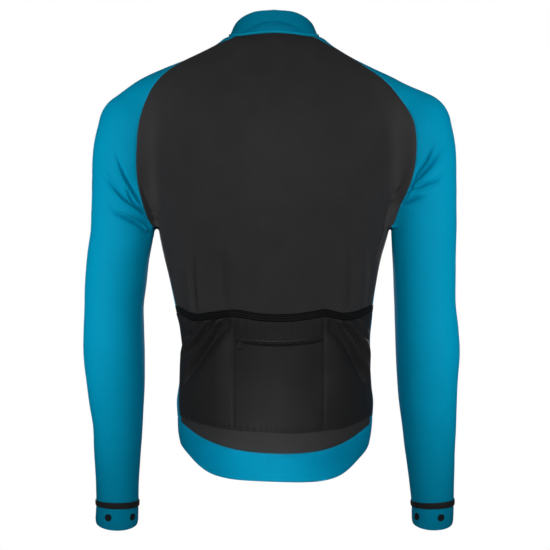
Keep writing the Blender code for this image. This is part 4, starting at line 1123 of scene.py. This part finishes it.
def makeHem():
    lines = []
    for edge in ("top", "bottom"):
        left = hemLine(frontAngle("left", edge), seams["hemleft"], edge, 2 * cuts["front"])
        back = hemLine(seams["hemleft"], seams["hemright"], edge, 2 * cuts["back"])
        right = hemLine(seams["hemright"], frontAngle("right", edge), edge, 2 * cuts["front"])
        lines.append(np.vstack([left, back[1:], right[1:]])[::2])
    share = np.linspace(0, 1, hemCut["steps"] + 1)[:, None, None]
    grid = lines[0] * (1 - share) + lines[1] * share
    grid[1:-1] = settle(grid[1:-1], "trunk")
    grid = pullIn(grid, seamGap / 2, ("bottom",))
    way = outward(grid, "trunk")
    lift = rumple(grid, *hemCut["rumple"])
    for edge in ("bottom", "top"):
        lift += edgeRoll(grid, *hemCut[edge + "Roll"], (edge,))
    outer = grid + lift[..., None] * way
    panel("hemCloth", "hem_band", "teal", outer, way, hemCut)
    sew("teal", *beside(outer, way, "bottom", hemCut["sewn"]))


makeHem()
print("hem band made")

# Rear pockets

pocketCut = {
    "flat": (0.335, 0.16), "area": 0.048, "rumple": (42, 0.35, 17),
    "columns": ("across", "mouth", "foot"),
    "levels": (
        (-142, -408, -561), (-137, -410, -563), (-118, -417, -569.6), (-103, -418.9, -574.8),
        (-71, -413.4, -578), (-61, -415.2, -579.5), (-23, -420.2, -581), (17, -419.6, -578.5),
        (61, -413.7, -576.3), (91, -417.4, -571.9), (118, -419.5, -566.4), (141, -409, -560), (146, -408, -559),
    ),
    "fullness": 1.6,
    "outerFullness": 6.5,
    "outerFrom": (58, 92),  # distance from the centre over which it sets in
    "outerTo": (128, 142),  # and over which it ends at the sides
    "centre": -6,
    "sideMargin": 1.2,
    "grid": (100, 184),
    "tall": 165,
    "pleats": (0.55, 9.5, 2.2, 17),  # at the mouth
    "pleatReach": 16,
    "middlePleats": (0.35, 50, 75),  # their share at the centre, and where they grow
    "pucker": (0.6, 8.3, 1.8, 11),  # at the foot
    "puckerReach": 7,
    "footRoll": (1.1, 2.6),
    "floor": (0.35, 0.3),  # least height over the layer's gap, and how softly it is kept
    "sewn": (2.6, 3.2),  # distance from the foot, pitch along the divisions
    "folds": (
        (((64, -416), (76, -432), (88, -452), (110, -484), (131, -526)), 6, -10.5, 0.6),
        (((88, -418), (100, -438), (115, -460), (131, -482)), 4.6, -9.0, 0.6),
        (((110, -420), (118, -435), (130, -454)), 3.5, -5.0, 0.5),
        (((-80, -417), (-95, -441), (-110, -470), (-126, -502), (-141, -538)), 7, -11.5, -0.6),
        (((-97, -419), (-113, -441), (-129, -470), (-139, -498)), 5, -9.0, -0.6),
        (((-117, -420), (-128, -436), (-138, -452)), 3.5, -4.4, -0.5),
    ),
    "divisions": (58.5, -71.5),
    "drawn": (0.9, 2.2),
}
bandCut = {"height": 11.5, "wall": 1.8, "ribs": 3, "ribHeight": 0.28, "start": 0.3, "rows": 25,
           "edge": (0.7, 0.05), "wave": (0.4, 31, 1.3), "rumple": (24, 0.3, 19)}
pocketZipCut = {
    "columns": ("across", "height"),
    "line": ((-71, -443.5), (-61, -446.5), (-40, -449.5), (-10, -451.5), (20, -450.5), (43, -447.5), (55, -443.5)),
    "width": 8.6,
    "waves": ((0.35, 11), (0.25, 6.3)),
    "tape": 0.25,
    "lip": (1.5, (0.3, 4.1, 1, 5), (0.2, 9)),  # height and two puckers
    "tooth": (0.9, 1.5, 0.8), "pitch": 1.25,
    "stitches": 2.6,
}


def pocketLevel(across, name):
    return fromTable(across, pocketCut["levels"], pocketCut["columns"], name)


def pocketAngle(side, height):
    seam = seamLines["side"][side]
    depth = np.interp(-height, [-h for _, h in seam], [d for d, _ in seam]) + pocketCut["sideMargin"]
    read = trunkSection(height)
    reach = halfChord(read["halfWidth"], read["back"], depth, read["power"])
    return np.arctan2(depth, reach if side == "left" else -reach)


def pocketPlaces(shareUp, columns):  # a row between the side seams, its height a share between foot and mouth
    shareRound = np.linspace(0, 1, columns + 1)
    height = np.full(columns + 1, -490.0)
    for _ in range(8):
        first, last = pocketAngle("left", height), pocketAngle("right", height)
        across, depth = atAngle(first + shareRound * (last - first), height)
        foot, mouth = pocketLevel(across, "foot"), pocketLevel(across, "mouth")
        height = foot + shareUp * (mouth - foot)
    return np.stack([across, depth, height], axis=-1)


def backPoint(across, height):
    read = trunkSection(height)
    depth = halfChord(read["back"], read["halfWidth"], across - read["middle"], read["power"])
    return np.stack([across + 0 * depth, depth, height + 0 * depth], axis=-1)


def pocketLift(grid, shareUp):
    # fuller between mouth and foot, and drawn down along the two stitched divisions
    x, (deep, wide) = grid[..., 0], pocketCut["drawn"]
    outer = pocketCut["outerFullness"] * smoothStep(*pocketCut["outerFrom"], np.abs(x - pocketCut["centre"]))
    outer = outer * (1 - smoothStep(*pocketCut["outerTo"], np.abs(x)))
    fullness = (pocketCut["fullness"] + outer) * np.sin(math.pi * np.clip(shareUp, 0, 1) ** 1.3) ** 0.7
    lift = layerGap + trimWall + fullness
    for across in pocketCut["divisions"]:
        lift = lift - deep * bell(x - across, wide) * smoothStep(0, 0.1, 1 - shareUp)
    return lift


def ripple(across, height, pitch, sway=0.0, swayPitch=1.0):  # a sine whose phase wanders by a slower one
    return height * np.sin(across * 2 * math.pi / pitch + sway * np.sin(across / swayPitch))


def makePockets():
    shares = np.linspace(0, 1, pocketCut["grid"][0] + 1)[:, None]
    grid = np.array([pocketPlaces(share, pocketCut["grid"][1]) for share in shares[:, 0]])
    way = outward(grid, "trunk")
    x, up = grid[..., 0], shares * pocketCut["tall"]
    pleats = ripple(x, *pocketCut["pleats"]) * np.exp((up - pocketCut["tall"]) / pocketCut["pleatReach"])
    least, start, stop = pocketCut["middlePleats"]
    pleats = pleats * (least + (1 - least) * smoothStep(start, stop, np.abs(x - pocketCut["centre"])))
    lift = pocketLift(grid, shares) + foldHeight(grid, way, pocketCut["folds"], "trunk", "back") + pleats
    lift += ripple(x, *pocketCut["pucker"]) * bell(up, pocketCut["puckerReach"]) + rumple(grid, *pocketCut["rumple"])
    deep, wide = pocketCut["footRoll"]
    least, soft = pocketCut["floor"]
    lift -= deep * bell(up, wide) + layerGap + least
    lift = layerGap + least + np.logaddexp(0, lift / soft) * soft  # never down into the back
    outer = grid + lift[..., None] * way
    clothShell("pocketCloth", outer, outer - trimWall * way, ("pocket",), ["pocket_layer"], "black_cloth", pocketCut,
               flat=flatPlace(grid))
    away, pitch = pocketCut["sewn"]
    sew("black", *beside(outer, way, "bottom", away))
    for across in pocketCut["divisions"]:
        sew("black", *crossing(outer, way, -outer[..., 0], -across), pitch)


def makeBand():  # the ribs are raised cosines across the band's height
    share = np.linspace(0, 1, bandCut["rows"])
    band = np.repeat(pocketPlaces(1.0, pocketCut["grid"][1])[None], len(share), axis=0)
    band[..., 2] += bandCut["start"] + share[:, None] * (bandCut["height"] - bandCut["start"])
    band = settle(band, "trunk")
    way = outward(band, "trunk")
    rib = bandCut["ribHeight"] * np.cos(share * 2 * math.pi * bandCut["ribs"])[:, None]
    deep, wide = bandCut["edge"]
    edge = -deep * (bell(share, wide) + bell(share - 1, wide))[:, None]
    high, pitch, start = bandCut["wave"]
    wave = high * np.sin(band[..., 0] * 2 * math.pi / pitch + start) + rumple(band, *bandCut["rumple"])
    outer = band + (layerGap + bandCut["wall"] - rib + edge + wave)[..., None] * way
    clothShell("pocketBand", outer, outer - bandCut["wall"] * way, ("elastic",), ["pocket_band"], "elastic")


def makePocketZip():  # an elastic tape, a lip of pocket cloth puckered by its sewing, and the coil above it
    line = np.array(pocketZipCut["line"], float)
    across = np.linspace(line[0, 0], line[-1, 0], 241)
    middle = fromTable(across, pocketZipCut["line"], pocketZipCut["columns"], "height")
    middle = middle + sum(ripple(across, *wave) for wave in pocketZipCut["waves"])
    share = np.linspace(-1, 1, 41)
    strip = np.array([backPoint(across, middle + s * pocketZipCut["width"] / 2) for s in share])
    way = outward(strip, "trunk")
    foot, mouth = pocketLevel(strip[..., 0], "foot"), pocketLevel(strip[..., 0], "mouth")
    strip = strip + (pocketLift(strip, (strip[..., 2] - foot) / (mouth - foot)) + 0.4)[..., None] * way
    tape = pocketZipCut["tape"] * (1 - np.abs(share) ** 6)[:, None, None] * way
    # the near-black tape left bare on both sides of the lip gives two dark lines: the tape's own colour, and painted
    # shade at the lip's edges
    clothShell("pocketZipTape", strip + tape, strip - 0.4 * way, ("elastic",), ["pocket_zip"], "zip_tape")
    lip, coil, sewn = np.s_[9:32], 34, 5  # rows of the strip
    rise = np.sin(np.linspace(0, math.pi, 23))[:, None] ** 0.6
    high, *puckers = pocketZipCut["lip"]
    high = high + sum(ripple(across, *pucker) for pucker in puckers)
    lift = 0.3 + rise * high * (1 - 0.6 * (np.abs(across + 8) / 64) ** 8)
    clothShell("pocketZipLip", strip[lip] + lift[..., None] * way[lip], strip[lip] + 0.1 * way[lip], ("pocket",), [],
               "black_cloth")
    teeth = placesAlong(strip[coil] + 0.45 * way[coil], way[coil], pocketZipCut["pitch"])
    repeated("pocketZipCoil", [(tooth(*pocketZipCut["tooth"]), teeth)], "zipTeeth")
    sew("black", strip[sewn] + 0.3 * way[sewn], way[sewn], pocketZipCut["stitches"])


makePockets()
makeBand()
makePocketZip()
print("pockets made")

# Front zip


def makeFrontZip():  # two rows of teeth in turn along the zip's line, over a tape with a groove down its middle
    neck, rim = np.array(seamLines["neck"][-1], float), np.array(collarCut["rim"][-1], float)
    below = np.linspace(neck, hemEdge(-math.pi / 2, "bottom"), 160)[1:]
    below[:, :2] = 0, frontCut["start"]
    below = settle(below, "trunk", (0, 1, 0))
    line = resample(np.vstack([np.linspace(rim, neck, 12), below]), spread(240))
    way = unit(np.cross(np.gradient(line, axis=0), (1.0, 0, 0)))
    way = np.where(way[:, 1:2] > 0, -way, way)
    across = np.linspace(-1, 1, 13) * zipCut["width"] / 2
    grid = line[:, None] + across[None, :, None] * np.array([1.0, 0, 0])
    groove = -0.5 * bell(across, 0.5) + 0.25 * bell(np.abs(across) - 1.6, 0.8)
    way = np.repeat(way[:, None], len(across), axis=1)
    outer = grid + groove[None, :, None] * way
    clothShell("frontZipTape", outer, grid - clothWall * way, ("elastic",), ["front_zip"], "zip_tape")
    normal = way[:, 6]
    places = placesAlong(outer[:, 6] + zipCut["raised"] * normal, normal, zipCut["pitch"])
    runs = [(tooth(*zipCut["tooth"]), [part[start::2] * flip for part, flip in zip(places, flips)])
            for start, flips in ((0, (1, 1, 1, 1)), (1, (1, -1, -1, 1)))]
    repeated("frontZipTeeth", runs, "zipTeeth")


makeFrontZip()
repeated("blackStitches", rows["black"], "blackThread")
repeated("tealStitches", rows["teal"], "tealThread")
print("front zip and sewing made")

for name in ("front_slider", "front_pull", "pocket_slider", "pocket_pull"):
    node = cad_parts[name]
    node.data.materials.clear()
    node.data.materials.append(finish["zipMetal"])

# Room, light, camera

room = {"floor": -1000, "reach": 1350, "floorColor": (0.82, 0.82, 0.82, 1), "pale": 0.6, "seen": 1.0, "fill": 0.02}


def makeRoom():  # a round pale floor, and a world that is white to the eye and a weak even fill on the cloth
    angle = np.linspace(0, 2 * math.pi, 96, endpoint=False)
    rim = np.stack([np.cos(angle), np.sin(angle), 0 * angle], axis=1) * room["reach"] + (0, 0, room["floor"])
    material, tree, shader = newLook("floorPaint", {
        "Base Color": room["floorColor"], "Roughness": 0.9, "Emission Color": (1, 1, 1, 1)})
    seen = addNode(tree, "LightPath").outputs["Is Camera Ray"]
    feed(shader["Emission Strength"], worker(tree)("MULTIPLY", seen, room["pale"]))
    floor = makePiece("floor", rim, np.arange(96)[None], (material,))

    world = bpy.data.worlds.new("studio")
    bpy.context.scene.world = world
    world.use_nodes = True
    tree = world.node_tree
    sky = tree.nodes["Background"].inputs
    seen = addNode(tree, "LightPath").outputs["Is Camera Ray"]
    feed(sky["Strength"], worker(tree)("MULTIPLY_ADD", seen, room["seen"] - room["fill"], room["fill"]))
    feed(sky["Color"], (1, 1, 1, 1))
    bpy.context.scene.view_settings.view_transform = "Standard"


makeRoom()

# gridded softboxes: bearing from the back towards the wearer's left, elevation, metres away, aim, size, power, beam
lights = {
    "key": (0, 15, 2.0, (0, 0, -0.32), (0.5, 0.4), 2.8, 60),
    "leftBack": (50, 3, 1.7, (0.305, 0, -0.30), (0.12, 0.62), 0.46, 17),
    "rightBack": (-50, 3, 1.7, (-0.31, 0, -0.30), (0.12, 0.62), 0.46, 17),
    "hem": (4, -8, 1.9, (0.012, 0.1, -0.64), (0.15, 0.15), 0.075, 9),
    "leftFront": (160, 8, 1.8, (0.12, 0, -0.36), (0.4, 0.5), 1.5, 60),
    "rightFront": (-160, 8, 1.8, (-0.12, 0, -0.36), (0.4, 0.5), 1.5, 60),
    "frontKey": (180, 15, 2.0, (0, 0, -0.32), (0.5, 0.4), 1.6, 60),
    "top": (180, 80, 1.8, (0, -0.02, -0.1), (0.6, 0.4), 0.6, 70),
}


def makeLight(name, bearing, elevation, away, aim, size, power, beam):
    bearing, elevation = math.radians(bearing), math.radians(elevation)
    way = Vector((math.sin(bearing) * math.cos(elevation), math.cos(bearing) * math.cos(elevation),
                  math.sin(elevation)))
    data = bpy.data.lights.new(name, "AREA")
    data.shape = "RECTANGLE"
    data.size, data.size_y = size
    data.energy = power
    data.spread = math.radians(beam)
    lamp = bpy.data.objects.new(name, data)
    bpy.context.scene.collection.objects.link(lamp)
    lamp.location = Vector((0, 0, -0.35)) + way * away
    lamp.rotation_euler = (Vector(aim) - lamp.location).to_track_quat("-Z", "Y").to_euler()


for name, light in lights.items():
    makeLight(name, *light)

cameraPlace = {"at": (-0.0015, 2.55, -0.3525), "turn": (math.pi / 2, 0, math.pi), "lens": 111.3, "sensor": 36}
cameraData = bpy.data.cameras.new("camera")
cameraData.lens = cameraPlace["lens"]
cameraData.sensor_width = cameraPlace["sensor"]
camera = bpy.data.objects.new("camera", cameraData)
bpy.context.scene.collection.objects.link(camera)
camera.location = cameraPlace["at"]
camera.rotation_euler = cameraPlace["turn"]
bpy.context.scene.camera = camera

print("scene ready")
